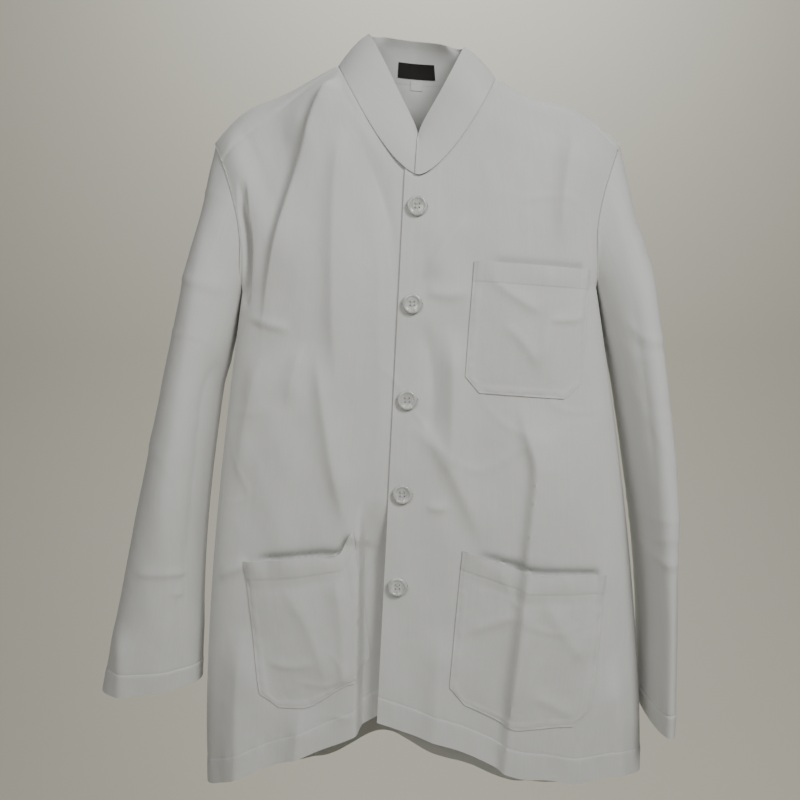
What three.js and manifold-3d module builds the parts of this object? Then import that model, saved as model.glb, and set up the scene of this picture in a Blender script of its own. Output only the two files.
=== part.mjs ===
// Hip-length lab coat with a stand collar, hanging from its neck and shoulders.
// Millimetres, +Z up, the front faces -Y, the origin is the middle of the back neck seam.
// "Left" and "right" are the wearer's: the wearer's left side is +X.
import * as THREE from 'three';
import { mergeVertices } from 'three/addons/utils/BufferGeometryUtils.js';
import Module from 'manifold-3d';

const wasm = await Module();
wasm.setup();

const { lerp, clamp, smoothstep } = THREE.MathUtils;

// Cloth, in the order a tailor stacks it
const cloth = 1.2;
const interlining = 0.5;
const facingCloth = 1.0;
const collarCloth = 1.0;
const gap = 0.35;

// Body
const neckHalfWidth = 80;
const neckSideHeight = 7;
const neckDrop = 101;
const necklineCurve = 1.55;
const shoulderHalfWidth = 210;
const shoulderTipHeight = -70;
const shoulderRoll = 60;
const underarmHeight = -215;
const armholeScoop = 14;
const chestHalfWidth = 185;
const hemHalfWidth = 240;
const sideHemHeight = -768;
const frontHemRise = 100;
const backHemDip = 14;
const sectionPower = 4;
const depthChestHeight = -250;
const frontDepth = { neck: 38, chest: 56, hem: 66 };
const backDepth = { neck: 28, chest: 45, hem: 60 };

// Front closure
const buttonCount = 5;
const topButtonHeight = -132;
const buttonPitch = 97;
const buttonLineTop = -2;
const buttonLineLean = 0.0625;
const standExtension = 14;
const facingWidth = 45;
const facingSetback = 1.5;
const underlapRun = 40;

// Buttons, buttonholes and their thread
const buttonRadius = 10.1;
const buttonThickness = 3.6;
const buttonWellRadius = 6.6;
const buttonWellFloor = 2.0;
const buttonHoleRadius = 0.95;
const buttonHoleSpacing = 3.8;
const buttonStandOff = 2.0;
const threadRadius = 0.55;
const knotRadius = 3.4;
const knotThickness = 0.5;
const shankRadius = 0.9;
const slitLength = 22;
const slitOpening = 2.8;
const stitchBand = 1.8;
const stitchThickness = 0.35;

// Collar
const collarHeight = 44;
const collarLeanFront = 0.3;
const collarLeanSide = 0.95;
const collarEndGap = 0.02;
const collarPlyGap = 0.5;

// Neck label and size tab, as shares of the neck angle and of the collar height
const labelHalfAngle = 0.26;
const labelBand = [0.14, 0.5];
const tabHalfAngle = 0.08;
const tabBand = [-0.06, 0.12];
const labelThickness = 0.5;
const labelSeat = 0.8;

// Sleeves, each as it hangs: how far out from the body the cuff is, its height, and half depths along Y
const sleeveClearance = 4;
const armholeEase = cloth + gap + 0.05;
const sleeveJoin = 0.25;
const sleeves = {
  left_sleeve: {
    side: 1, cuffOut: 27.6, cuffZ: -682, bow: 40, cuffWidth: 24, cuffTilt: 4,
    halfDepth: [34, 60, 60], shiftY: -22,
  },
  right_sleeve: {
    side: -1, cuffOut: 116.1, cuffZ: -649, bow: 4, cuffWidth: 115, cuffTilt: 10,
    halfDepth: [34, 50, 36], shiftY: -6,
  },
};

// Patch pockets: the cloth left between a pocket and the side, its centre's height, and its size
const pocketSeat = 0.98;
const pockets = {
  chest_pocket: {
    side: 1, sideMargin: 24.7, z: -258, width: 118, height: 132,
    chamfer: 16, tilt: -0.085, bulge: 11,
  },
  left_hip_pocket: {
    side: 1, sideMargin: 49.9, z: sideHemHeight + 181, width: 150, height: 164,
    chamfer: 18, tilt: -0.1, bulge: 17,
  },
  right_hip_pocket: {
    side: -1, sideMargin: 53.5, z: sideHemHeight + 198, width: 116, height: 164,
    chamfer: 18, tilt: 0.1, bulge: 17,
  },
};

// Mesh density
const neckColumns = 6;
const sideColumns = 7;
const bodyRows = 8;
const armholeRows = 6;
const sleeveRings = 10;
const pocketCells = 9;
const cornerCrowding = 1.9;
const shoulderCrowding = 1.4;

const white = 0xf1f1f4;
const root = new THREE.Group();

function addPart(name, geometry, color, roughness) {
  const material = new THREE.MeshStandardMaterial({ color, roughness, metalness: 0 });
  const mesh = new THREE.Mesh(geometry, material);
  mesh.name = name;
  root.add(mesh);
  return mesh;
}

const span = (count) => Array.from({ length: count + 1 }, (_, i) => i / count);

// --- Solids -----------------------------------------------------------------------------

// A sheet of even thickness. surface(u, v) gives its outer side, and u x v points outwards.
// Layers are counted along the normal, or along inwards(u, v) where that is given.
function sheet(surface, us, vs, inset, thickness, { ring = false, keep, inwards } = {}) {
  const step = 1e-3;
  const insetAt = typeof inset === 'function' ? inset : () => inset;
  const clampU = (u) => (ring ? u : clamp(u, us[0], us.at(-1)));
  const points = [];
  const along = new THREE.Vector3();
  const across = new THREE.Vector3();
  const outer = (i, j) => (i * vs.length + j) * 2;
  const columns = ring ? us.slice(0, -1) : us;
  for (const u of columns) {
    for (const v of vs) {
      const base = surface(u, v);
      along.subVectors(surface(clampU(u + step), v), surface(clampU(u - step), v));
      across.subVectors(surface(u, Math.min(v + step, 1)), surface(u, Math.max(v - step, 0)));
      const normal = inwards ? inwards(u, v).negate() : along.clone().cross(across).normalize();
      const depth = insetAt(base, u, v);
      const front = base.clone().addScaledVector(normal, -depth);
      const back = base.clone().addScaledVector(normal, -depth - thickness);
      if (keep) [front, back].forEach(keep);
      points.push(...front.toArray(), ...back.toArray());
    }
  }
  const index = [];
  const quad = (a, b, c, d) => index.push(a, b, c, a, c, d);
  const last = vs.length - 1;
  const bands = us.length - 1;
  const next = (i) => (ring ? (i + 1) % bands : i + 1);
  for (let i = 0; i < bands; i += 1) {
    const k = next(i);
    for (let j = 0; j < last; j += 1) {
      quad(outer(i, j), outer(k, j), outer(k, j + 1), outer(i, j + 1));
      quad(outer(i, j) + 1, outer(i, j + 1) + 1, outer(k, j + 1) + 1, outer(k, j) + 1);
    }
    quad(outer(i, 0), outer(i, 0) + 1, outer(k, 0) + 1, outer(k, 0));
    quad(outer(i, last), outer(k, last), outer(k, last) + 1, outer(i, last) + 1);
  }
  for (let j = 0; j < last && !ring; j += 1) {
    const e = bands;
    quad(outer(0, j), outer(0, j + 1), outer(0, j + 1) + 1, outer(0, j) + 1);
    quad(outer(e, j), outer(e, j) + 1, outer(e, j + 1) + 1, outer(e, j + 1));
  }
  const geometry = new THREE.BufferGeometry();
  geometry.setAttribute('position', new THREE.Float32BufferAttribute(points, 3));
  geometry.setIndex(index);
  return geometry;
}

function toSolid(geometry) {
  const plain = geometry.clone();
  plain.deleteAttribute('normal');
  plain.deleteAttribute('uv');
  const merged = mergeVertices(plain, 1e-4);
  return new wasm.Manifold(new wasm.Mesh({
    numProp: 3,
    vertProperties: new Float32Array(merged.attributes.position.array),
    triVerts: new Uint32Array(merged.index.array),
  }));
}

function toGeometry(solid) {
  const mesh = solid.getMesh();
  const geometry = new THREE.BufferGeometry();
  geometry.setAttribute('position', new THREE.Float32BufferAttribute(mesh.vertProperties, 3));
  geometry.setIndex(Array.from(mesh.triVerts));
  return geometry;
}

function cut(geometry, tools) {
  const solid = tools.reduce((body, tool) => body.subtract(toSolid(tool)), toSolid(geometry));
  return toGeometry(solid);
}

function join(geometries) {
  const [first, ...rest] = geometries.map(toSolid);
  return toGeometry(rest.reduce((body, other) => body.add(other), first));
}

// --- The body's surface -----------------------------------------------------------------

function profileHalfWidth(z) {
  if (z > underarmHeight) {
    const rise = (z - underarmHeight) / (shoulderTipHeight - underarmHeight);
    return lerp(chestHalfWidth, shoulderHalfWidth, Math.min(rise, 1));
  }
  const fall = clamp((z - underarmHeight) / (sideHemHeight - underarmHeight), 0, 1);
  return lerp(chestHalfWidth, hemHalfWidth, Math.sin(fall * Math.PI / 2));
}

// The side seam below the underarm, and the armhole's edge above it
function panelHalfWidth(z) {
  const rise = (z - underarmHeight) / (shoulderTipHeight - underarmHeight);
  return profileHalfWidth(z) - armholeScoop * Math.sin(Math.PI * clamp(rise, 0, 1));
}

function shoulderRidge(x) {
  const reach = (shoulderHalfWidth - Math.abs(x)) / (shoulderHalfWidth - neckHalfWidth);
  return shoulderTipHeight + (neckSideHeight - shoulderTipHeight) * reach;
}

function frontNeckline(x) {
  const share = Math.min(Math.abs(x) / neckHalfWidth, 1);
  return -neckDrop + (neckSideHeight + neckDrop) * share ** necklineCurve;
}

function backNeckline(x) {
  return neckSideHeight * Math.min(Math.abs(x) / neckHalfWidth, 1) ** 2;
}

function topEdge(x, face) {
  if (Math.abs(x) >= neckHalfWidth) return shoulderRidge(x);
  return face < 0 ? frontNeckline(x) : backNeckline(x);
}

function depthAt(z, depth) {
  if (z > depthChestHeight) return lerp(depth.neck, depth.chest, smoothstep(-z, 0, -depthChestHeight));
  return lerp(depth.chest, depth.hem, (z - depthChestHeight) / (sideHemHeight - depthChestHeight));
}

// Y of the body's outer side: face is -1 on the front and 1 on the back
function bodyY(x, z, face) {
  const share = Math.min(Math.abs(x) / profileHalfWidth(z), 1);
  const section = (1 - share ** sectionPower) ** (1 / sectionPower);
  const fall = clamp((shoulderRidge(x) - z) / shoulderRoll, 0, 1);
  const roll = Math.sqrt(1 - (1 - fall) ** 2);
  return face * (depthAt(z, face < 0 ? frontDepth : backDepth) * section * roll + gap / 2);
}

// --- Front closure ----------------------------------------------------------------------

const buttonLine = (z) => buttonLineTop - buttonLineLean * (topButtonHeight - z);
const leftEdge = (z) => buttonLine(z) - standExtension;
const rightEdge = (z) => buttonLine(z) + standExtension;
const closureHemX = leftEdge(sideHemHeight + frontHemRise);

function frontHem(x) {
  const reach = (x > closureHemX ? hemHalfWidth : -hemHalfWidth) - closureHemX;
  return sideHemHeight + frontHemRise * (1 - Math.min((x - closureHemX) / reach, 1));
}

function backHem(x) {
  return sideHemHeight - backHemDip * (1 - (x / hemHalfWidth) ** 2);
}

// Layers at the front edge, each counted inwards from the left front's outer side
const leftInterliningInset = cloth + gap;
const leftFacingInset = leftInterliningInset + interlining + gap;
const underlap = leftFacingInset + facingCloth + gap;

function rightInset(point) {
  const edge = leftEdge(point.z);
  return underlap * smoothstep(point.x, edge - underlapRun, edge - gap);
}

// --- Panels -----------------------------------------------------------------------------

const underarmShare = (underarmHeight - sideHemHeight)
  / (shoulderRidge(chestHalfWidth) - sideHemHeight);
const armholeShares = span(armholeRows)
  .map((t) => lerp(underarmShare, 1, 1 - (1 - t) ** shoulderCrowding));
const panelRows = [
  ...span(bodyRows).slice(0, -1).map((t) => t * underarmShare),
  ...armholeShares,
];

// A stretch of the body from low(z) to high(z) in X, and from its hem to its top edge
function panelSurface(face, low, high) {
  const hem = face < 0 ? frontHem : backHem;
  return (u, v) => {
    let z = underarmHeight;
    let x = 0;
    for (let i = 0; i < 12; i += 1) {
      x = lerp(low(z), high(z), u);
      z = lerp(hem(x), topEdge(x, face), v);
    }
    return new THREE.Vector3(x, bodyY(x, z, face), z);
  };
}

// Columns that meet the neck seam where the collar's do, then crowd towards the side seams
const neckAngles = span(neckColumns).map((t) => Math.max(t * Math.PI / 2, collarEndGap));
const neckXs = neckAngles.map((angle) => neckHalfWidth * Math.sin(angle));

function columnShares(face, low, high) {
  const shares = [0, 1];
  for (const x of [...neckXs.map((value) => -value), ...neckXs]) {
    const z = topEdge(x, face);
    shares.push((x - low(z)) / (high(z) - low(z)));
  }
  const seat = topEdge(neckHalfWidth, face);
  for (const t of span(sideColumns).slice(1, -1)) {
    const x = lerp(neckHalfWidth, panelHalfWidth(seat), 1 - (1 - t) ** cornerCrowding);
    shares.push((x - low(seat)) / (high(seat) - low(seat)));
    shares.push((-x - low(seat)) / (high(seat) - low(seat)));
  }
  return shares.filter((share) => share >= 0 && share <= 1).sort((a, b) => a - b);
}

const leftSide = (z) => panelHalfWidth(z);
const rightSide = (z) => -panelHalfWidth(z);

const backSurface = panelSurface(1, leftSide, rightSide);
const leftSurface = panelSurface(-1, leftEdge, leftSide);
const rightSurface = panelSurface(-1, rightSide, rightEdge);

// Front and back each stay on their own side of the shoulder and side seams
const keepFront = (point) => point.setY(Math.min(point.y, -gap / 2));
const keepBack = (point) => point.setY(Math.max(point.y, gap / 2));

function buttonPlace(i) {
  const z = topButtonHeight - i * buttonPitch;
  const x = buttonLine(z);
  return new THREE.Vector3(x, bodyY(x, z, -1), z);
}

function slitTool(i) {
  const place = buttonPlace(i);
  const tool = new THREE.BoxGeometry(slitLength, 2 * underlap, slitOpening);
  return tool.translate(place.x, place.y, place.z);
}

function frontSheet(low, high, inset, thickness) {
  const shares = columnShares(-1, low, high);
  return sheet(panelSurface(-1, low, high), shares, panelRows, inset, thickness, { keep: keepFront });
}

function addPanels() {
  const slits = span(buttonCount - 1).map((_, i) => slitTool(i));
  const backShares = columnShares(1, leftSide, rightSide);
  const back = sheet(backSurface, backShares, panelRows, 0, cloth, { keep: keepBack });
  addPart('back_panel', back, white, 0.85);
  addPart('left_front', cut(frontSheet(leftEdge, leftSide, 0, cloth), slits), white, 0.85);
  addPart('right_front', frontSheet(rightSide, rightEdge, rightInset, cloth), white, 0.85);

  const leftStrip = [(z) => leftEdge(z) + facingSetback, (z) => leftEdge(z) + facingWidth];
  const leftInner = frontSheet(...leftStrip, leftInterliningInset, interlining);
  const leftFacing = frontSheet(...leftStrip, leftFacingInset, facingCloth);
  addPart('left_front_interlining', cut(leftInner, slits), 0xe9e9ea, 0.95);
  addPart('left_front_facing', cut(leftFacing, slits), white, 0.85);

  const rightStrip = [(z) => rightEdge(z) - facingWidth, (z) => rightEdge(z) - facingSetback];
  const behind = (depth) => (point) => rightInset(point) + depth;
  const rightInner = frontSheet(...rightStrip, behind(leftInterliningInset), interlining);
  const rightFacing = frontSheet(...rightStrip, behind(leftFacingInset), facingCloth);
  addPart('right_front_interlining', rightInner, 0xe9e9ea, 0.95);
  addPart('right_front_facing', rightFacing, white, 0.85);
}

// --- Collar -----------------------------------------------------------------------------

// The neck seam: angle 0 is the centre front and PI the centre back
function neckSeam(angle) {
  const x = neckHalfWidth * Math.sin(angle);
  const face = Math.cos(angle) > 0 ? -1 : 1;
  const z = face < 0 ? frontNeckline(x) : backNeckline(x);
  return new THREE.Vector3(x, bodyY(x, z, face), z);
}

const collarInwards = (angle) => new THREE
  .Vector3(-Math.sin(angle), Math.cos(angle) ** 3, 0).normalize();

function collarPoint(angle, rise) {
  const foot = neckSeam(angle);
  const lean = lerp(collarLeanFront, collarLeanSide, Math.abs(Math.sin(angle)) ** 1.5);
  const direction = collarInwards(angle).multiplyScalar(lean).add(new THREE.Vector3(0, 0, 1));
  return foot.addScaledVector(direction.normalize(), rise * collarHeight).add(new THREE.Vector3(0, 0, gap));
}

// A band of the collar between two neck angles and two shares of its height
function collarBand(angles, [low, high], rows, inset, thickness) {
  const surface = (angle, v) => collarPoint(angle, lerp(low, high, v));
  return sheet(surface, angles, span(rows), inset, thickness, { inwards: collarInwards });
}

function addCollar() {
  const steps = span(4 * neckColumns).slice(1, -1).map((t) => t * 2 * Math.PI);
  const round = [collarEndGap, ...steps, 2 * Math.PI - collarEndGap];
  const stiffInset = collarCloth + collarPlyGap;
  const liningInset = stiffInset + interlining + collarPlyGap;
  addPart('collar_outer', collarBand(round, [0, 1], 2, 0, collarCloth), white, 0.8);
  addPart('collar_interlining', collarBand(round, [0, 1], 2, stiffInset, interlining), 0xe9e9ea, 0.95);
  addPart('collar_lining', collarBand(round, [0, 1], 2, liningInset, collarCloth), white, 0.85);

  const labelInset = liningInset + collarCloth + labelSeat;
  const around = (half, count) => span(count).map((t) => Math.PI + lerp(-half, half, t));
  const label = collarBand(around(labelHalfAngle, 6), labelBand, 1, labelInset, labelThickness);
  const tab = collarBand(around(tabHalfAngle, 2), tabBand, 1, labelInset, labelThickness);
  addPart('neck_label', label, 0x17171a, 0.8);
  addPart('size_tab', tab, 0xf4f4f2, 0.8);
}

// --- Sleeves ----------------------------------------------------------------------------

const bezier = (a, b, c, t) => a * (1 - t) ** 2 + 2 * b * t * (1 - t) + c * t ** 2;

// The armhole's edge, from the underarm up the front to the shoulder and down the back
function armholePoint(turn) {
  const front = turn < 0.5;
  const climb = (front ? turn : 1 - turn) * 2 * armholeRows;
  const row = Math.min(Math.floor(climb), armholeRows - 1);
  const v = lerp(armholeShares[row], armholeShares[row + 1], climb - row);
  const point = front ? leftSurface(1, v) : backSurface(0, v);
  return point.add(new THREE.Vector3(armholeEase, 0, 0));
}

// One ring of the hanging sleeve, drawn for the wearer's left: fall is 0 at the shoulder
function sleevePoint(spec, turn, fall) {
  const cuffX = profileHalfWidth(spec.cuffZ) + spec.cuffOut;
  const outerX = bezier(shoulderHalfWidth + armholeEase,
    (shoulderHalfWidth + cuffX) / 2 + spec.bow, cuffX, fall);
  const outerZ = lerp(shoulderTipHeight, spec.cuffZ, fall);
  const innerZ = lerp(underarmHeight, spec.cuffZ + spec.cuffTilt, fall);
  const besideBody = profileHalfWidth(innerZ) + armholeEase + sleeveClearance * Math.min(4 * fall, 1);
  const innerX = Math.max(besideBody, lerp(besideBody, cuffX - spec.cuffWidth, fall ** 2));
  const angle = turn * 2 * Math.PI;
  const out = (1 - Math.cos(angle)) / 2;
  const depth = bezier(spec.halfDepth[0], spec.halfDepth[1] * 1.3, spec.halfDepth[2], fall);
  const ring = new THREE.Vector3(
    lerp(innerX, outerX, out),
    -depth * Math.sin(angle) + spec.shiftY * fall,
    lerp(innerZ, outerZ, out),
  );
  const ease = smoothstep(fall, 0, sleeveJoin);
  return armholePoint(turn).lerp(ring, ease);
}

function sleeveSurface(spec) {
  return (u, v) => {
    const turn = ((u % 1) + 1) % 1;
    const point = sleevePoint(spec, spec.side > 0 ? turn : (1 - turn) % 1, 1 - v);
    point.x *= spec.side;
    return point;
  };
}

function addSleeves() {
  for (const [name, spec] of Object.entries(sleeves)) {
    const around = span(2 * armholeRows);
    const rings = span(sleeveRings);
    const geometry = sheet(sleeveSurface(spec), around, rings, 0, cloth, { ring: true });
    addPart(name, geometry, white, 0.85);
  }
}

// --- Pockets ----------------------------------------------------------------------------

function pocketSurface(spec) {
  const centre = spec.side * (profileHalfWidth(spec.z) - spec.sideMargin - spec.width / 2);
  const chamferShare = spec.chamfer / spec.height;
  return (u, v) => {
    const narrowing = spec.chamfer * Math.max(0, 1 - v / chamferShare);
    const along = (u - 0.5) * (spec.width - 2 * narrowing);
    const up = (v - 0.5) * spec.height;
    const x = centre + along * Math.cos(spec.tilt) - up * Math.sin(spec.tilt);
    const z = spec.z + along * Math.sin(spec.tilt) + up * Math.cos(spec.tilt);
    return new THREE.Vector3(x, bodyY(x, z, -1), z);
  };
}

function addPockets() {
  for (const [name, spec] of Object.entries(pockets)) {
    const chamferShare = spec.chamfer / spec.height;
    const rows = [0, ...span(pocketCells).map((t) => lerp(chamferShare, 1, t))];
    const stand = (_, u, v) => {
      const bulge = Math.sin(Math.PI * u) ** 0.7 * Math.sin(v * Math.PI / 2) ** 0.7;
      return -(pocketSeat + cloth + spec.bulge * bulge);
    };
    addPart(name, sheet(pocketSurface(spec), span(pocketCells), rows, stand, cloth), white, 0.85);
  }
}

// --- Buttons ----------------------------------------------------------------------------

const holePlaces = [[-1, -1], [1, -1], [1, 1], [-1, 1]]
  .map(([a, b]) => [a * buttonHoleSpacing / 2, b * buttonHoleSpacing / 2]);

// A button lies in its own frame with its back at the origin and its face towards +Y
function buttonShape() {
  const profile = [
    [0, 0], [buttonRadius - 1.4, 0], [buttonRadius, 1.1], [buttonRadius, 2.3],
    [buttonRadius - 0.7, 3.3], [buttonRadius - 1.8, buttonThickness],
    [buttonWellRadius + 0.5, 3.1], [buttonWellRadius - 0.9, buttonWellFloor], [0, buttonWellFloor],
  ].map(([r, h]) => new THREE.Vector2(r, h));
  const disc = new THREE.LatheGeometry(profile, 18);
  const drills = holePlaces.map(([x, z]) => new THREE
    .CylinderGeometry(buttonHoleRadius, buttonHoleRadius, 3 * buttonThickness, 6).translate(x, 0, z));
  return cut(disc, drills);
}

// Thread through the four holes: a knot under the button, four legs and two bars over the well
function threadShape() {
  const knotTop = -gap;
  const knotFloor = knotTop - knotThickness;
  const barFloor = buttonWellFloor + gap;
  const barTop = barFloor + threadRadius;
  const knot = new THREE.CylinderGeometry(knotRadius, knotRadius, knotThickness, 12);
  knot.translate(0, (knotTop + knotFloor) / 2, 0);
  const legs = holePlaces.map(([x, z]) => new THREE
    .CylinderGeometry(threadRadius, threadRadius, barTop - knotFloor - 0.2, 6)
    .translate(x, (barTop + knotFloor) / 2, z));
  const bars = [-1, 1].map((side) => new THREE
    .BoxGeometry(buttonHoleSpacing + 2 * threadRadius, threadRadius, 2 * threadRadius)
    .translate(0, (barTop + barFloor) / 2, side * buttonHoleSpacing / 2));
  return join([knot, ...legs, ...bars]);
}

function shankShape() {
  const start = -underlap + gap;
  const end = buttonStandOff - knotThickness - 2 * gap;
  return new THREE.CylinderGeometry(shankRadius, shankRadius, end - start, 8)
    .translate(0, (start + end) / 2, 0);
}

function stadium(shape, length, width) {
  const straight = (length - width) / 2;
  shape.absarc(straight, 0, width / 2, -Math.PI / 2, Math.PI / 2, false);
  shape.absarc(-straight, 0, width / 2, Math.PI / 2, 3 * Math.PI / 2, false);
  shape.closePath();
  return shape;
}

// The stitched edge of a buttonhole, flat in its own XZ plane
function buttonholeShape() {
  const outline = stadium(new THREE.Shape(), slitLength + 2 * stitchBand, slitOpening + 2 * stitchBand);
  outline.holes.push(stadium(new THREE.Path(), slitLength, slitOpening));
  const options = { depth: stitchThickness, bevelEnabled: false, curveSegments: 4 };
  return new THREE.ExtrudeGeometry(outline, options).rotateX(Math.PI / 2);
}

function addButtons() {
  const facingOut = Math.PI;
  for (let i = 0; i < buttonCount; i += 1) {
    const place = buttonPlace(i);
    const button = addPart(`button_${i + 1}`, buttonShape(), 0xe6e6ea, 0.2);
    button.position.set(place.x, place.y - buttonStandOff, place.z);
    button.rotation.x = facingOut;
    const thread = addPart(`button_thread_${i + 1}`, threadShape(), 0xf6f6f6, 0.9);
    thread.position.copy(button.position);
    thread.rotation.x = facingOut;
    const shank = addPart(`thread_shank_${i + 1}`, shankShape(), 0xf6f6f6, 0.9);
    shank.position.copy(place);
    shank.rotation.x = facingOut;
    const hole = addPart(`buttonhole_${i + 1}`, buttonholeShape(), 0xf6f6f6, 0.9);
    hole.position.set(place.x, place.y - gap, place.z);
  }
}

addPanels();
addCollar();
addSleeves();
addPockets();
addButtons();

export default root;
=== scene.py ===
# %% [markdown]
# # A lab coat
# A lab coat is a flat thing made round: two fronts and a back are cut from white polyester-cotton, sewn at
# the shoulders and sides, and then a collar, two sleeves, three patch pockets and five buttons are added.
# Hung up, the cloth falls in long soft folds from the neck, and every seam and hem pulls it a little. The
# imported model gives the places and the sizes. This script makes the cloth that is seen.

import math

import bmesh
import bpy
import numpy as np
from mathutils import Euler, Matrix, Vector


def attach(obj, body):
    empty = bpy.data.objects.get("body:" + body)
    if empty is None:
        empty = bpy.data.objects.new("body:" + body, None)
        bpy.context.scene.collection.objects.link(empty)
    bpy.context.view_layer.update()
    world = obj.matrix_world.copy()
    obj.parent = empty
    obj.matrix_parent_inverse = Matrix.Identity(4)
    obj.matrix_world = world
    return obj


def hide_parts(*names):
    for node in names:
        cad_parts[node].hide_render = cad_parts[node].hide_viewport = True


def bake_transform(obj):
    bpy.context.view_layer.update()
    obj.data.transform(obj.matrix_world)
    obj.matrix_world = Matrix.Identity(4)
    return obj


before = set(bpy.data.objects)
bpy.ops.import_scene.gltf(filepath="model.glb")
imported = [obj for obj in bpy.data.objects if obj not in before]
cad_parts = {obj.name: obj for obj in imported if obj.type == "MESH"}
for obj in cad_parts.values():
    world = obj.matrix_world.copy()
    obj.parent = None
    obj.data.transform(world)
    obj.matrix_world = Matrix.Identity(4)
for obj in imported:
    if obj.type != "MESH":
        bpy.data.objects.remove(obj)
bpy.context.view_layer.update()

# %% [markdown]
# ## The camera
# The camera looks slightly down on the coat from about a metre away, which is close for an object this
# size, so the hem is seen from above and the collar nearly level. It is made first, because everything
# else is judged through it.

# %% Camera
CAMERA_PLACE = (-0.0213, -0.985, -0.2124)
CAMERA_PITCH = math.radians(83)
CAMERA_ROLL = math.radians(-0.65)
CAMERA_LENS, CAMERA_SENSOR = 41.4, 36

camera = bpy.data.objects.new("camera", bpy.data.cameras.new("camera"))
camera.data.sensor_width = CAMERA_SENSOR
camera.data.lens = CAMERA_LENS
camera.location = CAMERA_PLACE
turned = Euler((CAMERA_PITCH, 0, 0)).to_matrix() @ Matrix.Rotation(CAMERA_ROLL, 3, "Z")
camera.rotation_euler = turned.to_euler()
bpy.context.scene.collection.objects.link(camera)
bpy.context.scene.camera = camera
print("camera lens", camera.data.lens, "mm")

# %% [markdown]
# ## The coat's pattern
# A pattern maker works in millimetres, so these sizes are in millimetres too, and each piece is turned to
# metres once, when its mesh is made. They are the model's own driving sizes. X runs to the wearer's left,
# Z up, and the front faces -Y. Three numbers for a depth are those at the neck, the chest and the hem.

# %% Driving sizes, in millimetres
MM = 0.001
NECK_HALF, NECK_SIDE, NECK_DROP, NECK_CURVE = 80.0, 7.0, 101.0, 1.55
SHOULDER_HALF, SHOULDER_TIP, SHOULDER_ROLL = 210.0, -70.0, 60.0
UNDERARM, ARMHOLE_SCOOP, CHEST_HALF, HEM_HALF = -215.0, 14.0, 185.0, 240.0
SIDE_HEM, FRONT_RISE, BACK_DIP, CHEST_LINE = -768.0, 100.0, 14.0, -250.0
FRONT_DEPTH, BACK_DEPTH = (38.0, 56.0, 66.0), (28.0, 45.0, 60.0)
BUTTON_TOP, BUTTON_LINE, BUTTON_LEAN, STAND = -132.0, -2.0, 0.0625, 14.0
BUTTON_COUNT, BUTTON_PITCH = 5, 97.0
CLOTH = 0.5
FACING_DEPTH, UNDERLAP = 0.75, 2.3
HEM_TURN, POCKET_TURN = 28.0, 20.0


def lerp(a, b, t):
    """The value a share t of the way from a to b."""
    return a + (b - a) * t


def smooth(value, low=0.0, high=1.0):
    """0 below low, 1 above high, and a soft step between them."""
    t = np.clip((value - low) / (high - low), 0, 1)
    return t * t * (3 - 2 * t)


def profile_half(z):
    """Half the coat's width at a height: narrow at the chest, wide at the hem and at the shoulder."""
    rise = np.clip((z - UNDERARM) / (SHOULDER_TIP - UNDERARM), 0, 1)
    fall = np.clip((z - UNDERARM) / (SIDE_HEM - UNDERARM), 0, 1)
    below = lerp(CHEST_HALF, HEM_HALF, np.sin(fall * np.pi / 2))
    return np.where(z > UNDERARM, lerp(CHEST_HALF, SHOULDER_HALF, rise), below)


def panel_half(z):
    """The panels' own edge: the side seam, then the armhole scooped out above it."""
    rise = np.clip((z - UNDERARM) / (SHOULDER_TIP - UNDERARM), 0, 1)
    return profile_half(z) - ARMHOLE_SCOOP * np.sin(np.pi * rise)


def shoulder_ridge(x):
    """Height of the shoulder's top line, straight from the neck's side to the shoulder's tip."""
    share = (SHOULDER_HALF - np.abs(x)) / (SHOULDER_HALF - NECK_HALF)
    return SHOULDER_TIP + (NECK_SIDE - SHOULDER_TIP) * share


def neckline(x, face):
    """Height of the neck seam: cut low in front and nearly level behind."""
    share = np.clip(np.abs(x) / NECK_HALF, 0, 1)
    front = -NECK_DROP + (NECK_SIDE + NECK_DROP) * share ** NECK_CURVE
    return front if face < 0 else NECK_SIDE * share ** 2


def top_edge(x, face):
    return np.where(np.abs(x) >= NECK_HALF, shoulder_ridge(x), neckline(x, face))


def body_y(x, z, face):
    """Y of the coat's smooth outer side, before any fold: face is -1 on the front and 1 on the back."""
    neck, chest, hem = FRONT_DEPTH if face < 0 else BACK_DEPTH
    above = lerp(neck, chest, smooth(-z, 0, -CHEST_LINE))
    below = lerp(chest, hem, (z - CHEST_LINE) / (SIDE_HEM - CHEST_LINE))
    section = (1 - np.clip(np.abs(x) / profile_half(z), 0, 1) ** 4) ** 0.25
    fall = np.clip((shoulder_ridge(x) - z) / SHOULDER_ROLL, 0, 1)
    return face * np.where(z > CHEST_LINE, above, below) * section * np.sqrt(1 - (1 - fall) ** 2)


def left_edge(z):
    """X of the left front's free edge, which lies on top. The line of buttons leans a little."""
    return BUTTON_LINE - BUTTON_LEAN * (BUTTON_TOP - z) - STAND


def right_edge(z):
    """X of the right front's free edge, hidden under the left front."""
    return left_edge(z) + 2 * STAND


CLOSURE_HEM = left_edge(SIDE_HEM + FRONT_RISE)


def hem_line(x, face):
    """Height of the hem: the fronts rise from the side seams to the closure, and the back dips."""
    reach = np.where(x > CLOSURE_HEM, HEM_HALF, -HEM_HALF) - CLOSURE_HEM
    front = SIDE_HEM + FRONT_RISE * (1 - np.minimum((x - CLOSURE_HEM) / reach, 1))
    return front if face < 0 else SIDE_HEM - BACK_DIP * (1 - (x / HEM_HALF) ** 2)


print("closure meets the hem at x =", round(CLOSURE_HEM, 1), "mm")

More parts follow.
